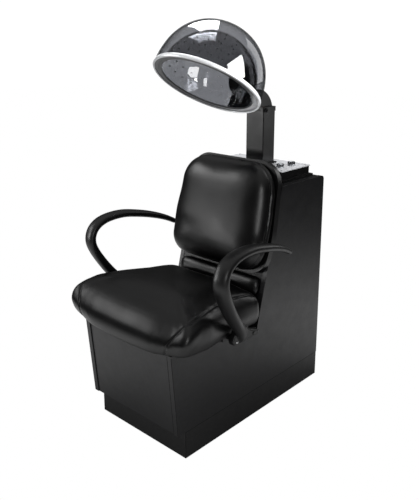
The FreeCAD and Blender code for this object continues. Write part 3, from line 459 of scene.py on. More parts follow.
def finish_nodes(finishes):
    """Gives every CAD node its slot's material, apart from a few that have one of their own."""
    slots = {row["node"]: row["material_slot"] for row in frame["record"]["subparts"]}
    knob = satin("knob_silver", (0.30, 0.31, 0.33), 0.28, 0.7)
    bolt = metal("dark_bolt", (0.10, 0.10, 0.10), 0.35)
    # The inner shell's view through turns much lighter at its edges: painted sheen.
    special = {"hood_inner_shell": smoked_clear("smoked_inner", (0.65, 0.655, 0.67),
                                                (0.92, 0.92, 0.93)),
               "timer_knob": knob, "heat_knob": knob,
               "arm_bolts_left": bolt, "arm_bolts_right": bolt,
               "hinge_pin": finishes["black_metal"]}
    for name, obj in nodes.items():
        material = special.get(name, finishes[slots[name]])
        for place in obj.material_slots:
            place.material = material
        if not obj.material_slots:
            obj.data.materials.append(material)


# -------------------- mesh tools
CURVE_STEPS = 24            # points on each span of a curve or corner before they are evened out


def add_piece(name, verts, faces, material, slot, smooth=True):
    mesh = bpy.data.meshes.new(name)
    mesh.from_pydata([tuple(v) for v in verts], [], faces)
    mesh.validate()
    mesh.update()
    piece = bpy.data.objects.new(name, mesh)
    bpy.context.collection.objects.link(piece)
    mesh.materials.append(material)
    if smooth:
        mesh.shade_smooth()
    return piece


def ring_faces(rings, around, closed_ends=True):
    """Quads between rings of points, and a fan face over each end."""
    faces = []
    for r in range(rings - 1):
        for k in range(around):
            a, b = r * around + k, r * around + (k + 1) % around
            faces.append((a, b, b + around, a + around))
    if closed_ends:
        faces.append(tuple(reversed(range(around))))
        faces.append(tuple(range((rings - 1) * around, rings * around)))
    return faces


def evenly(lengths, count, gaps):
    """(piece, share of it) for count places along pieces of these lengths, cut into equal gaps."""
    along = [0.0]
    for length in lengths:
        along.append(along[-1] + length)
    places, at = [], 0
    for k in range(count):
        want = along[-1] * k / gaps
        while at < len(lengths) - 1 and along[at + 1] < want:
            at += 1
        places.append((at, (want - along[at]) / max(along[at + 1] - along[at], 1e-9)))
    return places


def curve_through(points, count):
    """Evenly spaced points on a smooth curve through the given ones; points may hold any numbers."""
    dense = []
    for i in range(len(points) - 1):
        p0, p1, p2 = points[max(i - 1, 0)], points[i], points[i + 1]
        p3 = points[min(i + 2, len(points) - 1)]
        for k in range(CURVE_STEPS):
            t = k / CURVE_STEPS
            dense.append([0.5 * (2 * p1[n] + (p2[n] - p0[n]) * t
                                 + (2 * p0[n] - 5 * p1[n] + 4 * p2[n] - p3[n]) * t * t
                                 + (3 * p1[n] - p0[n] - 3 * p2[n] + p3[n]) * t ** 3)
                          for n in range(len(p0))])
    dense.append(list(points[-1]))
    lengths = [math.dist(a[:3], b[:3]) for a, b in zip(dense, dense[1:])]
    return [[a + (b - a) * share for a, b in zip(dense[at], dense[at + 1])]
            for at, share in evenly(lengths, count, count - 1)]


def between(x, table):
    """Smooth value at x in a table of (x, value)."""
    if x <= table[0][0]:
        return table[0][1]
    last = len(table) - 1
    for i in range(last):
        (x0, v0), (x1, v1) = table[i], table[i + 1]
        if x <= x1:
            before, after = table[max(i - 1, 0)], table[min(i + 2, last)]
            start = (v1 - before[1]) / (x1 - before[0]) * (x1 - x0)
            end = (after[1] - v0) / (after[0] - x0) * (x1 - x0)
            t = (x - x0) / (x1 - x0)
            return (v0 * (1 + 2 * t) * (1 - t) ** 2 + start * t * (1 - t) ** 2
                    + v1 * t * t * (3 - 2 * t) + end * t * t * (t - 1))
    return table[-1][1]


def rounded_outline(corners, count):
    """count points and outward normals round a closed outline of (x, y, radius) corners."""
    pieces = []
    total = len(corners)
    for i in range(total):
        point = Vector(corners[i][:2])
        before = (Vector(corners[i - 1][:2]) - point).normalized()
        after = (Vector(corners[(i + 1) % total][:2]) - point).normalized()
        half = before.angle(after) / 2
        reach = corners[i][2] / math.tan(half)
        centre = point + (before + after).normalized() * (corners[i][2] / math.sin(half))
        start, end = point + before * reach - centre, point + after * reach - centre
        turn = start.angle_signed(end)
        for k in range(CURVE_STEPS + 1):
            pieces.append(centre + Matrix.Rotation(-turn * k / CURVE_STEPS, 2) @ start)
    lengths = [(b - a).length for a, b in zip(pieces, pieces[1:] + pieces[:1])]
    result = [pieces[at].lerp(pieces[(at + 1) % len(pieces)], share)
              for at, share in evenly(lengths, count, count)]
    normals = []
    for k in range(count):
        run = result[(k + 1) % count] - result[k - 1]
        normals.append(Vector((run.y, -run.x)).normalized())
    area = sum(result[k].cross(result[(k + 1) % count]) for k in range(count))
    if area < 0:
        normals = [-n for n in normals]
    return result, normals


def settle(piece):
    """Replaces the piece's mesh by what its modifiers make of it."""
    graph = bpy.context.evaluated_depsgraph_get()
    made = bpy.data.meshes.new_from_object(piece.evaluated_get(graph), depsgraph=graph)
    material = piece.data.materials[0]
    piece.modifiers.clear()
    piece.data = made
    if not made.materials:
        made.materials.append(material)
    made.shade_smooth()


def even_mesh(piece, voxel):
    remesh = piece.modifiers.new("even", "REMESH")
    remesh.mode = "VOXEL"
    remesh.voxel_size = voxel
    remesh.use_smooth_shade = True
    settle(piece)


def smoothed(piece, rounds):
    smooth = piece.modifiers.new("smooth", "SMOOTH")
    smooth.factor = 0.5
    smooth.iterations = rounds
    settle(piece)


CLOTH_FRAMES = 20
CLOTH_PRESSURE = 4.0
CLOTH_STIFFNESS = 12.0
FOAM_ROUNDS = 90
CREASE_SHARE = 0.05
FORM_SMOOTH_ROUNDS = 14


def fill(piece, is_held, cap):
    """Cloth under pressure fills the form, and no point moves further than cap."""
    smoothed(piece, FORM_SMOOTH_ROUNDS)
    start = [v.co.copy() for v in piece.data.vertices]
    group = piece.vertex_groups.new(name="held")
    for v in piece.data.vertices:
        group.add([v.index], 1.0 if is_held(v.co) else 0.0, "REPLACE")
    cloth = piece.modifiers.new("fill", "CLOTH")
    rules = cloth.settings
    rules.quality = 5
    rules.mass = 0.3
    rules.tension_stiffness = CLOTH_STIFFNESS
    rules.compression_stiffness = CLOTH_STIFFNESS
    rules.shear_stiffness = CLOTH_STIFFNESS * 0.5
    rules.bending_stiffness = 0.6
    rules.use_pressure = True
    rules.uniform_pressure_force = CLOTH_PRESSURE
    rules.vertex_group_mass = "held"
    rules.effector_weights.gravity = 0
    cloth.collision_settings.use_collision = False
    cloth.point_cache.frame_start = 1
    cloth.point_cache.frame_end = CLOTH_FRAMES
    scene = bpy.context.scene
    for number in range(1, CLOTH_FRAMES + 1):
        scene.frame_set(number)
    settle(piece)
    moves = numpy.array([tuple(v.co - old) for v, old in zip(piece.data.vertices, start)])
    length = numpy.linalg.norm(moves, axis=1, keepdims=True)
    moves *= numpy.minimum(1.0, cap / numpy.maximum(length, 1e-9))
    broad = spread_out(piece.data, moves, FOAM_ROUNDS)
    moves = broad + (moves - broad) * CREASE_SHARE
    for v, old, move in zip(piece.data.vertices, start, moves):
        v.co = old + Vector(move)
    scene.frame_set(1)


def spread_out(mesh, moves, rounds):
    """Averages each point's move with its neighbours', as the foam under the cover does."""
    ends = numpy.empty(len(mesh.edges) * 2, dtype=numpy.int32)
    mesh.edges.foreach_get("vertices", ends)
    first, second = ends[0::2], ends[1::2]
    total = len(mesh.vertices)
    neighbours = numpy.bincount(ends, minlength=total)
    for _ in range(rounds):
        met = [numpy.bincount(first, moves[second, n], total)
               + numpy.bincount(second, moves[first, n], total) for n in range(3)]
        moves = (moves + numpy.stack(met, axis=1) / neighbours[:, None]) / 2
    return moves


def subdivide(piece):
    finer = piece.modifiers.new("finer", "SUBSURF")
    finer.levels = 1
    finer.render_levels = 1
    settle(piece)


def surface_of(piece):
    mesh = piece.data
    return BVHTree.FromPolygons([v.co for v in mesh.vertices],
                                [tuple(p.vertices) for p in mesh.polygons])


def on_surface(tree, points):
    """(place, normal) of the surface nearest each point."""
    return [tree.find_nearest(Vector(p))[:2] for p in points]


def upholster(name, form, voxel, is_held, cap, material):
    """The cover that a form's (points, faces) makes once it is filled, riding on the cabinet."""
    cover = add_piece(name, *form, material, "vinyl")
    even_mesh(cover, voxel)
    fill(cover, is_held, cap)
    subdivide(cover)
    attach(cover, "cabinet")
    return cover


SEAM_REACH = 6              # seam widths beside a seam that it still moves
PUCKER_REACH = 2.6


def press_seam(piece, line, depth, width, pucker, wave):
    """Pulls the cover in along a seam, and gathers it into puckers, about a wave apart, beside it."""
    tree = KDTree(len(line))
    for i, (place, _) in enumerate(line):
        tree.insert(place, i)
    tree.balance()
    step = (line[1][0] - line[0][0]).length
    normals = [v.normal.copy() for v in piece.data.vertices]
    for v, normal in zip(piece.data.vertices, normals):
        _, index, distance = tree.find(v.co)
        if distance > width * SEAM_REACH:
            continue
        groove = depth * math.exp(-(distance / width) ** 2)
        at = index * step
        swing = math.sin(at / wave * 2 * math.pi) + 0.6 * math.sin(at / wave * 3.7 + 1.3)
        groove += pucker * swing * math.exp(-(distance / (width * PUCKER_REACH)) ** 2)
        v.co -= normal * groove
    piece.data.update()


STITCH_PITCH = 0.0055
STITCH_LENGTH = 0.0042
STITCH_RADIUS = 0.00055
STITCH_SIDES = 6
# (share of the length, share of the radius) from one end of a stitch to the other
STITCH_SHAPE = ((-0.5, 0.35), (-0.3, 0.95), (0, 1.1), (0.3, 0.95), (0.5, 0.35))


def stitches(name, piece, line, sides, material):
    """Rows of thread stitches beside a seam line, each a small raised lozenge on the cover."""
    tree = surface_of(piece)
    verts, faces = [], []
    travelled = sum((b - a).length for (a, _), (b, _) in zip(line, line[1:]))
    count = max(int(travelled / STITCH_PITCH), 2)
    even = curve_through([tuple(place) for place, _ in line], count * 2 + 1)
    for side in sides:
        for k in range(count):
            middle, ahead = Vector(even[2 * k + 1]), Vector(even[2 * k + 2])
            place, along, across = middle, (ahead - middle).normalized(), Vector()
            for shift in (0.0, side):
                place, normal, _, _ = tree.find_nearest(place + across * shift)
                along = (along - normal * along.dot(normal)).normalized()
                across = normal.cross(along)
            first = len(verts)
            for share, thick in STITCH_SHAPE:
                for turn in range(STITCH_SIDES):
                    angle = 2 * math.pi * turn / STITCH_SIDES
                    lift = STITCH_RADIUS * (math.sin(angle) * thick + 0.25)
                    verts.append(place + along * (share * STITCH_LENGTH) + normal * lift
                                 + across * (STITCH_RADIUS * math.cos(angle) * thick))
            stitch = ring_faces(len(STITCH_SHAPE), STITCH_SIDES)
            faces += [tuple(i + first for i in face) for face in stitch]
    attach(add_piece(name, verts, faces, material, "vinyl"), "cabinet")


# -------------------- seat
# (x, y, corner radius) round the left half of the cushion
SEAT_OUTLINE = [(0.150, -0.446, 0.30), (0.314, -0.422, 0.044), (0.299, -0.290, 0.12),
                (0.252, -0.140, 0.20), (0.231, 0.056, 0.028)]
# (y, height) of the cushion's top edge, from the front to the back
SEAT_SHOULDER = [(-0.44, 0.498), (-0.40, 0.514), (-0.34, 0.527), (-0.287, 0.530), (-0.225, 0.526),
                 (-0.155, 0.519), (-0.014, 0.500), (0.030, 0.484), (0.064, 0.462)]
SEAT_MIDDLE = Vector((0.0, -0.19))
SEAT_SLOPE = 0.137
SEAT_BASE = 0.364
SEAT_TUCK = 0.034
SEAT_CROWN = 0.012
SEAT_HELD_TO = 0.012
HEM_ABOVE_BOARD = 0.004
LIP_START = -0.375
LIP_RUN = 0.04
LIP_BOTTOM = 0.394
LIP_HALF_WIDTH = 0.285
LIP_CORNER_RISE = 0.026
SEAT_CAP = 0.022
# Up the front corner of the cushion, over the shoulder and back
SEAT_SEAM = ((0.214, -0.432, 0.404), (0.222, -0.440, 0.432), (0.232, -0.438, 0.466),
             (0.246, -0.420, 0.500), (0.262, -0.385, 0.522), (0.272, -0.345, 0.530),
             (0.266, -0.290, 0.536), (0.246, -0.220, 0.532), (0.230, -0.150, 0.524),
             (0.222, -0.080, 0.514), (0.217, -0.010, 0.502), (0.214, 0.030, 0.488))


def seat_underside(y):
    return SEAT_BASE - SEAT_SLOPE * y


def seat_hem(x, y):
    """Height of the cushion's lower edge: level with the board at the sides, lower at the front."""
    side = seat_underside(y) + HEM_ABOVE_BOARD
    front = LIP_BOTTOM + LIP_CORNER_RISE * min(abs(x) / LIP_HALF_WIDTH, 1.0) ** 2.4
    share = min(max((LIP_START - y) / LIP_RUN, 0.0), 1.0)
    return side + (front - side) * share


def mirrored(corners):
    """Both halves of an outline that is given for one side."""
    return corners + [(-x, *rest) for x, *rest in reversed(corners)]


def seat_form():
    """Rings of points: under the cushion, up its wall, over its shoulder and in over its top."""
    around = 220
    outline, normals = rounded_outline(mirrored(SEAT_OUTLINE), around)
    rows = [("under", 0.04), ("under", 0.5), ("under", 1.0)]
    rows += [("wall", 0.6 * SEAT_TUCK, 0.0), ("wall", 0.012, 0.012), ("wall", 0.003, 0.034),
             ("wall", 0.0, 0.052)]
    rows += [("shoulder", turn) for turn in (0, 15, 30, 45, 60, 75)]
    rows += [("top", share) for share in (1.0, 0.85, 0.65, 0.4, 0.2, 0.05)]
    verts = []
    for row in rows:
        for point, normal in zip(outline, normals):
            inner = point - normal * SEAT_TUCK
            front = max(-normal.y, 0.0) ** 2
            round_in, round_down = 0.050 + 0.055 * front, 0.044 + 0.030 * front
            crest = point - normal * round_in
            if row[0] == "under":
                spot = SEAT_MIDDLE.lerp(inner, row[1])
                z = seat_underside(spot.y)
                if row[1] == 1.0:
                    z = min(z, seat_hem(point.x, point.y) + 0.006)
            elif row[0] == "wall":
                spot = point - normal * row[1]
                z = seat_hem(point.x, point.y) + row[2]
            elif row[0] == "shoulder":
                turn = math.radians(row[1])
                spot = point - normal * (round_in * (1 - math.cos(turn)))
                z = between(crest.y, SEAT_SHOULDER) - round_down * (1 - math.sin(turn))
            else:
                spot = SEAT_MIDDLE.lerp(crest, row[1])
                z = between(spot.y, SEAT_SHOULDER) + SEAT_CROWN * (1 - row[1] ** 3)
            verts.append((spot.x, spot.y, z))
    return verts, ring_faces(len(rows), around)


def seat_held(place):
    return place.z - seat_underside(place.y) < SEAT_HELD_TO


def make_seat(finishes):
    seat = upholster("seat_upholstery", seat_form(), 0.0065, seat_held, SEAT_CAP,
                     finishes["vinyl"])
    tree = surface_of(seat)
    seams = []
    for side in (1, -1):
        line = on_surface(tree, curve_through([(side * x, y, z) for x, y, z in SEAT_SEAM], 150))
        seams.append(line)
        press_seam(seat, line, 0.0030, 0.0038, 0.0006, 0.040)
    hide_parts("seat_cushion")
    for label, line in zip(("left", "right"), seams):
        stitches("seat_stitches_" + label, seat, line, (0.0045, -0.0045), finishes["thread"])
    return seat


# -------------------- back
TOWER_RAKE = 0.26           # how far the tower's front leans back for each metre up
LEAN = math.atan(TOWER_RAKE)
TOWER_FOOT = (0.061, 0.449)     # (y, z) on the line of the tower's leaning face
BACK_FOOT = Vector((0.0, 0.08596, 0.545))
BACK_STAND_OFF = 0.0253
# (x, up the back, corner radius) round the left half
BACK_OUTLINE = [(0.214, -0.006, 0.094), (0.232, 0.150, 0.46), (0.211, 0.403, 0.118)]
BACK_MIDDLE = Vector((0.0, 0.200))
BACK_DEPTH = 0.070
BACK_BAND = 0.032           # straight side wall, from the shell to where the front rounds over
BACK_ROUNDING = 0.046
BACK_LIP = 0.003
BACK_CROWN = 0.008
BACK_HELD_TO = 0.004
BACK_CAP = 0.009


def on_lean(foot, x, up, out):
    """From flat across, up and out of the back, onto the tower's lean."""
    return foot + Vector((x, math.sin(LEAN) * up - math.cos(LEAN) * out,
                          math.cos(LEAN) * up + math.sin(LEAN) * out))


def leaned(x, up, out):
    return on_lean(BACK_FOOT, x, up, BACK_STAND_OFF + out)


def rings(corners, around, middle, rows, place):
    """Rings of points round an outline, and the faces between them.

    A row is (share of the way out from the middle, inset from the outline, height).
    """
    outline, normals = rounded_outline(mirrored(corners), around)
    verts = []
    for share, inset, out in rows:
        for point, normal in zip(outline, normals):
            spot = middle.lerp(point - normal * inset, share)
            verts.append(place(spot.x, spot.y, out))
    return verts, ring_faces(len(rows), around)


def back_form():
    """Over the rear, up the side wall, round the edge and in over the front."""
    rows = [(share, 0.006, 0.0) for share in (0.02, 0.5, 1.0)]
    rows += [(1.0, 0.0, 0.008), (1.0, 0.0, BACK_BAND - 0.012), (1.0, 0.004, BACK_BAND - 0.006),
             (1.0, BACK_LIP, BACK_BAND)]
    for turn in (math.radians(degrees) for degrees in (12, 25, 38, 52, 66, 80)):
        rows.append((1.0, BACK_LIP + BACK_ROUNDING * (1 - math.cos(turn)),
                     BACK_BAND + (BACK_DEPTH - BACK_BAND) * math.sin(turn)))
    rows += [(share, BACK_LIP + BACK_ROUNDING, BACK_DEPTH + BACK_CROWN * (1 - share ** 2))
             for share in (0.97, 0.85, 0.68, 0.48, 0.28, 0.08)]
    return rings(BACK_OUTLINE, 200, BACK_MIDDLE, rows, leaned)


def back_held(place):
    """Whether a place is on the rear of the cushion, against the shell."""
    away = place - BACK_FOOT
    out = -away.y * math.cos(LEAN) + away.z * math.sin(LEAN)
    return out - BACK_STAND_OFF < BACK_HELD_TO


def make_back(finishes):
    back = upholster("back_upholstery", back_form(), 0.0055, back_held, BACK_CAP,
                     finishes["vinyl"])
    tree = surface_of(back)
    outline, normals = rounded_outline(mirrored(BACK_OUTLINE), 420)
    ring = [leaned(p.x + n.x * 0.004, p.y + n.y * 0.004, 0.030)
            for p, n in zip(outline, normals)]
    line = on_surface(tree, ring + ring[:1])
    press_seam(back, line, 0.0045, 0.0045, 0.0005, 0.042)
    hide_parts("back_cushion")
    stitches("back_stitches", back, line, (0.005,), finishes["thread"])


# -------------------- lower pad
# (x, up the tower, corner radius) round the left half
PAD_OUTLINE = [(0.201, 0.002, 0.032), (0.201, 0.080, 0.034)]
PAD_MIDDLE = Vector((0.0, 0.041))
PAD_DEPTH = 0.027
PAD_FOOT_Z = 0.452
PAD_FOOT = Vector((0.0, TOWER_FOOT[0] + TOWER_RAKE * (PAD_FOOT_Z - TOWER_FOOT[1]), PAD_FOOT_Z))
PAD_GAP = 0.0012
PAD_ROUNDING = 0.036
PAD_WALL = 0.004
PAD_CROWN = 0.003
PAD_HELD_TO = 0.004
PAD_CAP = 0.006


def pad_place(x, up, out):
    return on_lean(PAD_FOOT, x, up, out + PAD_GAP)


def pad_form():
    """Over the rear, round the edge and in over the front."""
    rows = [(share, 0.0, 0.0) for share in (0.03, 0.6, 1.0)]
    for turn in (math.radians(degrees) for degrees in (0, 20, 40, 60, 80)):
        rows.append((1.0, PAD_ROUNDING * (1 - math.cos(turn)),
                     PAD_WALL + (PAD_DEPTH - 0.006) * math.sin(turn)))
    rows += [(share, PAD_ROUNDING, PAD_DEPTH - 0.002 + PAD_CROWN * (1 - share ** 2))
             for share in (0.9, 0.6, 0.3, 0.05)]
    return rings(PAD_OUTLINE, 180, PAD_MIDDLE, rows, pad_place)


def tower_edge(z):
    """Y of the tower's leaning face."""
    return TOWER_FOOT[0] + TOWER_RAKE * (z - TOWER_FOOT[1])


def pad_held(place):
    """Whether a place is on the rear of the pad, against the tower."""
    return (tower_edge(place.z) - place.y) * math.cos(LEAN) < PAD_HELD_TO


def make_lower_pad(finishes):
    pad = upholster("lower_pad_upholstery", pad_form(), 0.0045, pad_held, PAD_CAP,
                    finishes["vinyl"])
    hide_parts("lower_back_pad")


# -------------------- arms
# (x, y, z, half width, half depth) along the loop, in millimetres, from the foot to the free end
ARM_STATIONS = [
    (270, -108, 386, 12, 26), (280, -128, 416, 15, 24), (299, -176, 462, 22, 20),
    (313, -232, 532, 27, 18), (325, -275, 604, 28, 17), (328, -286, 650, 28, 17),
    (327, -268, 691, 28, 16), (325, -220, 715, 28, 15), (321, -140, 720, 27, 14.5),
    (315, -55, 705, 25, 14), (307, 15, 686, 22, 13), (299, 72, 665, 18, 11.5),
    (292, 116, 643, 15, 10)]
ARM_SPLAY_DEG = (18.0, 5.0)
ARM_TIP = 0.010
# (y, z, corner radius) round the flared foot, which lies between the two X of ARM_FOOT_X
ARM_FOOT_OUTLINE = [(-0.161, 0.370, 0.006), (-0.021, 0.370, 0.004), (-0.027, 0.386, 0.008),
                    (-0.080, 0.405, 0.060), (-0.108, 0.434, 0.020), (-0.148, 0.418, 0.016),
                    (-0.168, 0.388, 0.010)]
ARM_FOOT_X = (0.2535, 0.2775)
ARM_FOOT_POINTS = 120
ARM_VOXEL = 0.0026
ARM_SMOOTH_ROUNDS = 10
FRONT_BOLT = (-0.146, 0.379)
REAR_BOLT = (-0.056, 0.382)
# (share of the radius, height above the foot) from a bolt cap's foot to its middle
CAP_PROFILE = ((1.0, -0.001), (1.0, 0.0006), (0.86, 0.0016), (0.5, 0.0024), (0.05, 0.0026))
CAP_POINTS = 28


def arm_sweep():
    """A flattened bar swept round the loop, squarer than an ellipse, with a rounded free end."""
    sections, around, fullness = 110, 44, 2.3
    rows = curve_through([tuple(n / 1000 for n in row) for row in ARM_STATIONS], sections)
    verts = []
    for i, row in enumerate(rows):
        centre = Vector(row[:3])
        before = Vector(rows[max(i - 1, 0)][:3])
        after = Vector(rows[min(i + 1, sections - 1)][:3])
        along = (after - before).normalized()
        share = i / (sections - 1)
        splay = math.radians(ARM_SPLAY_DEG[0] + (ARM_SPLAY_DEG[1] - ARM_SPLAY_DEG[0]) * share)
        across = Vector((math.cos(splay), math.sin(splay), 0))
        across = (across - along * across.dot(along)).normalized()
        deep = along.cross(across)
        for k in range(around):
            turn = 2 * math.pi * k / around
            c, s = math.cos(turn), math.sin(turn)
            wide = row[3] * math.copysign(abs(c) ** (2 / fullness), c)
            tall = row[4] * math.copysign(abs(s) ** (2 / fullness), s)
            verts.append(centre + across * wide + deep * tall)
    tip = Vector(rows[-1][:3])
    tip_way = (tip - Vector(rows[-3][:3])).normalized()
    last = verts[-around:]
    for share in (0.3, 0.55, 0.75, 0.9, 0.98):
        size = math.sqrt(1 - share ** 2)
        for v in last:
            verts.append(tip + (v - tip) * size + tip_way * (ARM_TIP * share))
    return verts, ring_faces(len(verts) // around, around)


def make_arm(name, node, side, finishes):
    """The sweep and its flared foot, run together as one moulding."""
    verts, faces = arm_sweep()
    outline, _ = rounded_outline(ARM_FOOT_OUTLINE, ARM_FOOT_POINTS)
    start = len(verts)
    for x in ARM_FOOT_X:
        verts += [Vector((x, p.x, p.y)) for p in outline]
    faces += [tuple(i + start for i in face) for face in ring_faces(2, ARM_FOOT_POINTS)]
    verts = [Vector((v.x * side, v.y, v.z)) for v in verts]
    arm = add_piece(name, verts, faces, finishes["arm_urethane"], "arm_urethane")
    even_mesh(arm, ARM_VOXEL)
    smoothed(arm, ARM_SMOOTH_ROUNDS)
    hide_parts(node)
    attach(arm, "cabinet")
    button(name + "_bolt", side, FRONT_BOLT, 0.0055, finishes["screw_steel"], "screw_steel")
    button(name + "_plug", side, REAR_BOLT, 0.0075, finishes["arm_urethane"], "arm_urethane")
    return arm


def button(name, side, place, radius, material, slot):
    """Low domed cap on the outer face of an arm's foot."""
    y, z = place
    verts = []
    for share, out in CAP_PROFILE:
        for k in range(CAP_POINTS):
            turn = 2 * math.pi * k / CAP_POINTS
            verts.append((side * (ARM_FOOT_X[1] + out), y + radius * share * math.cos(turn),
                          z + radius * share * math.sin(turn)))
    cap = add_piece(name, verts, ring_faces(len(CAP_PROFILE), CAP_POINTS), material, slot)
    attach(cap, "cabinet")


# -------------------- hood rim
HOOD_CENTRE = Vector((0.0, 0.0032, 1.2251))
HOOD_TILT_DEG = 32.6
HOOD_LEAN = Matrix.Rotation(math.radians(-HOOD_TILT_DEG), 3, "X")
# (distance from the hood's axis, height above the bowl's edge, corner radius)
BAND_SECTION = [(0.1965, 0.0035, 0.001), (0.2018, 0.0035, 0.0022), (0.2028, -0.004, 0.003),
                (0.2018, -0.0098, 0.0028), (0.1950, -0.0105, 0.002), (0.1950, -0.0065, 0.001),
                (0.1975, -0.004, 0.001)]
CLOSURE_SECTION = [(0.1705, -0.0035, 0.001), (0.1720, -0.0005, 0.001),
                   (0.1962, -0.0005, 0.001), (0.1962, -0.0062, 0.001),
                   (0.1850, -0.0052, 0.003), (0.1740, -0.0072, 0.0016)]


def turned_ring(name, outline, material, slot, around=160):
    """Ring made by turning a closed (radius, height) outline about the hood's axis."""
    verts, faces = [], []
    rows = len(outline)
    for k in range(around):
        turn = 2 * math.pi * k / around
        for radius, height in outline:
            spot = Vector((radius * math.cos(turn), radius * math.sin(turn), height))
            verts.append(HOOD_CENTRE + HOOD_LEAN @ spot)
    for k in range(around):
        for r in range(rows):
            a, b = k * rows + r, ((k + 1) % around) * rows + r
            c, d = ((k + 1) % around) * rows + (r + 1) % rows, k * rows + (r + 1) % rows
            faces.append((a, b, c, d))
    ring = add_piece(name, verts, faces, material, slot)
    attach(ring, "hood")
    return ring


def rounded_section(corners, steps=5):
    """Closed outline with each (radius, height, corner radius) corner rounded off."""
    result = []
    total = len(corners)
    for i in range(total):
        point = Vector(corners[i][:2])
        before = (Vector(corners[i - 1][:2]) - point).normalized() * corners[i][2]
        after = (Vector(corners[(i + 1) % total][:2]) - point).normalized() * corners[i][2]
        for k in range(steps + 1):
            t = k / steps
            spot = point + before * (1 - t) ** 2 + after * t ** 2
            result.append((spot.x, spot.y))
    return result


def make_rim(finishes):
    """Bright rolled band round the outer shell, and the grey ring that closes the air space."""
    band = turned_ring("rim_band", rounded_section(BAND_SECTION), finishes["silver_trim"],
                       "silver_trim")
    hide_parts("hood_rim")
    turned_ring("rim_closure", rounded_section(CLOSURE_SECTION), finishes["rim_grey"],
                "silver_trim")
    return band


# -------------------- knob sleeves
# (body, joint, radius, (foot, top) of the sleeve over the knob's foot, teeth, their depth)
KNOBS = (("timer", "timer_turn", 0.0136, (0.0030, 0.0102), 48, 0.0003),
         ("heat", "heat_turn", 0.0140, (0.0042, 0.0136), 14, 0.0009))
KNOB_LIFT = 0.0006          # gap between the plate and a knob
SLEEVE_WALL = 0.0040
SLEEVE_BEVEL = 0.0012


def make_knob_bands():
    """Dark knurled sleeve round each knob's grip."""
    smoke = satin("knob_smoke", (0.075, 0.077, 0.082), 0.26, 0.4)
    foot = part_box("control_plate")[1].z + KNOB_LIFT
    for body, joint, radius, (low, high), teeth, depth in KNOBS:
        x, y, _ = pivots[joint]
        verts = []
        around = teeth * 4
        section = ((low, -SLEEVE_WALL), (low, 0.0), (high - SLEEVE_BEVEL, 0.0),
                   (high, -SLEEVE_BEVEL), (high, -SLEEVE_WALL))
        for z, extra in section:
            for k in range(around):
                turn = 2 * math.pi * k / around
                reach = radius + extra + depth * math.cos(turn * teeth)
                verts.append((x + reach * math.cos(turn), y + reach * math.sin(turn), foot + z))
        faces = ring_faces(len(section), around, False)
        last = (len(section) - 1) * around
        faces += [(k, k + last, (k + 1) % around + last, (k + 1) % around)
                  for k in range(around)]
        sleeve = add_piece(body + "_knob_sleeve", verts, faces, smoke, "knob_black", smooth=False)
        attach(sleeve, body)


# -------------------- cabinet edges
SIDE_LOW, SIDE_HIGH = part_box("side_panel_left")
HALF_WIDTH = SIDE_HIGH.x
BOARD = SIDE_HIGH.x - SIDE_LOW.x
PLINTH_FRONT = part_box("plinth_front")[0].y
PLINTH_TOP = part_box("plinth_front")[1].z
FRONT_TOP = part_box("front_panel")[1].z
BANDING_FOOT = 0.475
BANDING_TOP = SIDE_HIGH.z - 0.010
FRONT_FOOT_Y = -0.376
FRONT_RAKE = 0.09           # how far the front leans forward for each metre up


def front_edge(z):
    """Y of the side panels' front edge, under the seat."""
    return FRONT_FOOT_Y - FRONT_RAKE * (z - PLINTH_TOP)


def strip(name, start, end, wide, deep, material):
    """Thin square-sided strip from start to end; wide and deep are its two cross vectors."""
    corners = [(-0.5, -0.5), (0.5, -0.5), (0.5, 0.5), (-0.5, 0.5)]
    verts = [spot + wide * a + deep * b for spot in (start, end) for a, b in corners]
    piece = add_piece(name, verts, ring_faces(2, 4), material, "laminate", smooth=False)
    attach(piece, "cabinet")


def edge_strip(name, x, edge, inset, low, high, wide, deep, material):
    """Strip from low to high, inset from an edge; edge gives Y at a height."""
    strip(name, Vector((x, edge(low) + inset, low)), Vector((x, edge(high) + inset, high)),
          Vector((wide, 0, 0)), Vector((0, deep, 0)), material)


def make_edge_bands():
    """Edge banding on the tower, and black strips of painted shade in the gaps and joints at the front corners and
    along the plinth.
    """
    # Painted shade: a near-black material for the strips that stand in for the shade in gaps, joints and along
    # corners.
    joint = dull("joint_shadow", (0.0012, 0.0012, 0.0012), 0.9, 200)
    banding = Finish("edge_banding", (0.045, 0.045, 0.048), 0.30)
    banding.vary_colour(banding.noise(40, 4), 0.85, 1.2)
    banding.bump(banding.noise(600, 4), 0.00006)
    foot = PLINTH_TOP + 0.001
    for side, label in ((1, "left"), (-1, "right")):
        edge_strip("front_gap_shade_" + label, side * (HALF_WIDTH - BOARD + 0.0002), front_edge,
                   0.0012, foot, FRONT_TOP, 0.0018, 0.0030, joint)
        edge_strip("corner_line_shade_" + label, side * (HALF_WIDTH - 0.0002), front_edge,
                   0.0005, foot, FRONT_TOP, 0.0012, 0.0016, joint)
        edge_strip("tower_banding_" + label, side * (HALF_WIDTH - BOARD / 2), tower_edge,
                   0.0002, BANDING_FOOT, BANDING_TOP, BOARD - 0.001, 0.0012, banding.material)
        x, z = side * (HALF_WIDTH - 0.0010), PLINTH_TOP - 0.0010
        strip("plinth_shadow_" + label, Vector((x, PLINTH_FRONT + 0.001, z)),
              Vector((x, SIDE_HIGH.y - 0.010, z)), Vector((0.0012, 0, 0)),
              Vector((0, 0, 0.0020)), joint)
        edge_strip("plinth_joint_shade_" + label, side * (HALF_WIDTH - 0.0015), lambda z: PLINTH_FRONT,
                   0.0005, 0.001, PLINTH_TOP - 0.002, 0.0016, 0.0016, joint)


# -------------------- air holes
INNER_RADIUS = 0.175
INNER_HEIGHT = 0.187
INNER_WALL = 0.003
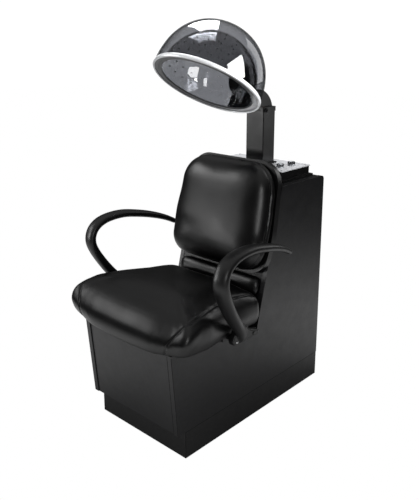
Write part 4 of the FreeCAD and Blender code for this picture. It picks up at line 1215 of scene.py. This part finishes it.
# (degrees up the bowl, holes in the ring)
AIR_RINGS = ((11, 26), (21, 24), (31, 21), (42, 18), (53, 14), (64, 10), (75, 5))
AIR_HOLE_POINTS = 12
AIR_HOLE_RADIUS = 0.0022
AIR_EDGE_RADIUS = 0.0032
AIR_EDGE_LIFT = 0.0002
AIR_EDGE_SECTION = ((AIR_EDGE_RADIUS, AIR_EDGE_LIFT), (AIR_HOLE_RADIUS, AIR_EDGE_LIFT),
                    (AIR_HOLE_RADIUS, -INNER_WALL), (AIR_EDGE_RADIUS, -INNER_WALL))


def make_hole_walls():
    """Cut edges of the bowl's air holes, painted dark: painted shade for how clear acrylic looks dark where it is
    drilled, spread as a thin ring round each hole.
    """
    # Painted shade: a dark material for the hole walls and the rings round them.
    edge = dull("hole_edge", (0.025, 0.025, 0.028), 0.3, 300)
    verts, faces = [], []
    for ring, (turn_deg, count) in enumerate(AIR_RINGS):
        turn = math.radians(turn_deg)
        radius, height = INNER_RADIUS * math.cos(turn), INNER_HEIGHT * math.sin(turn)
        out = Vector((math.cos(turn) / INNER_RADIUS, 0, math.sin(turn) / INNER_HEIGHT)).normalized()
        side = Vector((0, 1, 0))
        up = out.cross(side)
        for k in range(count):
            spin = Matrix.Rotation(2 * math.pi * (k + 0.25 + 0.5 * (ring % 2)) / count, 3, "Z")
            first = len(verts)
            for wide, lift in AIR_EDGE_SECTION:
                for step in range(AIR_HOLE_POINTS):
                    angle = 2 * math.pi * step / AIR_HOLE_POINTS
                    spot = (Vector((radius, 0, height)) + out * lift
                            + side * (wide * math.cos(angle)) + up * (wide * math.sin(angle)))
                    verts.append(HOOD_CENTRE + HOOD_LEAN @ (spin @ spot))
            wall = ring_faces(len(AIR_EDGE_SECTION), AIR_HOLE_POINTS, False)
            faces += [tuple(i + first for i in face) for face in wall]
    walls = add_piece("air_hole_shade_rings", verts, faces, edge, "smoked_clear")
    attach(walls, "hood")


# -------------------- making
make_camera()
plain_view()
make_world()
make_floor()
finishes = make_finishes()
finish_nodes(finishes)
seat = make_seat(finishes)
make_back(finishes)
make_lower_pad(finishes)
arms = [make_arm("arm_sweep_left", "arm_left", 1, finishes),
        make_arm("arm_sweep_right", "arm_right", -1, finishes)]
band = make_rim(finishes)
make_hole_walls()
make_knob_bands()
make_edge_bands()
make_lights(seat, arms, band)
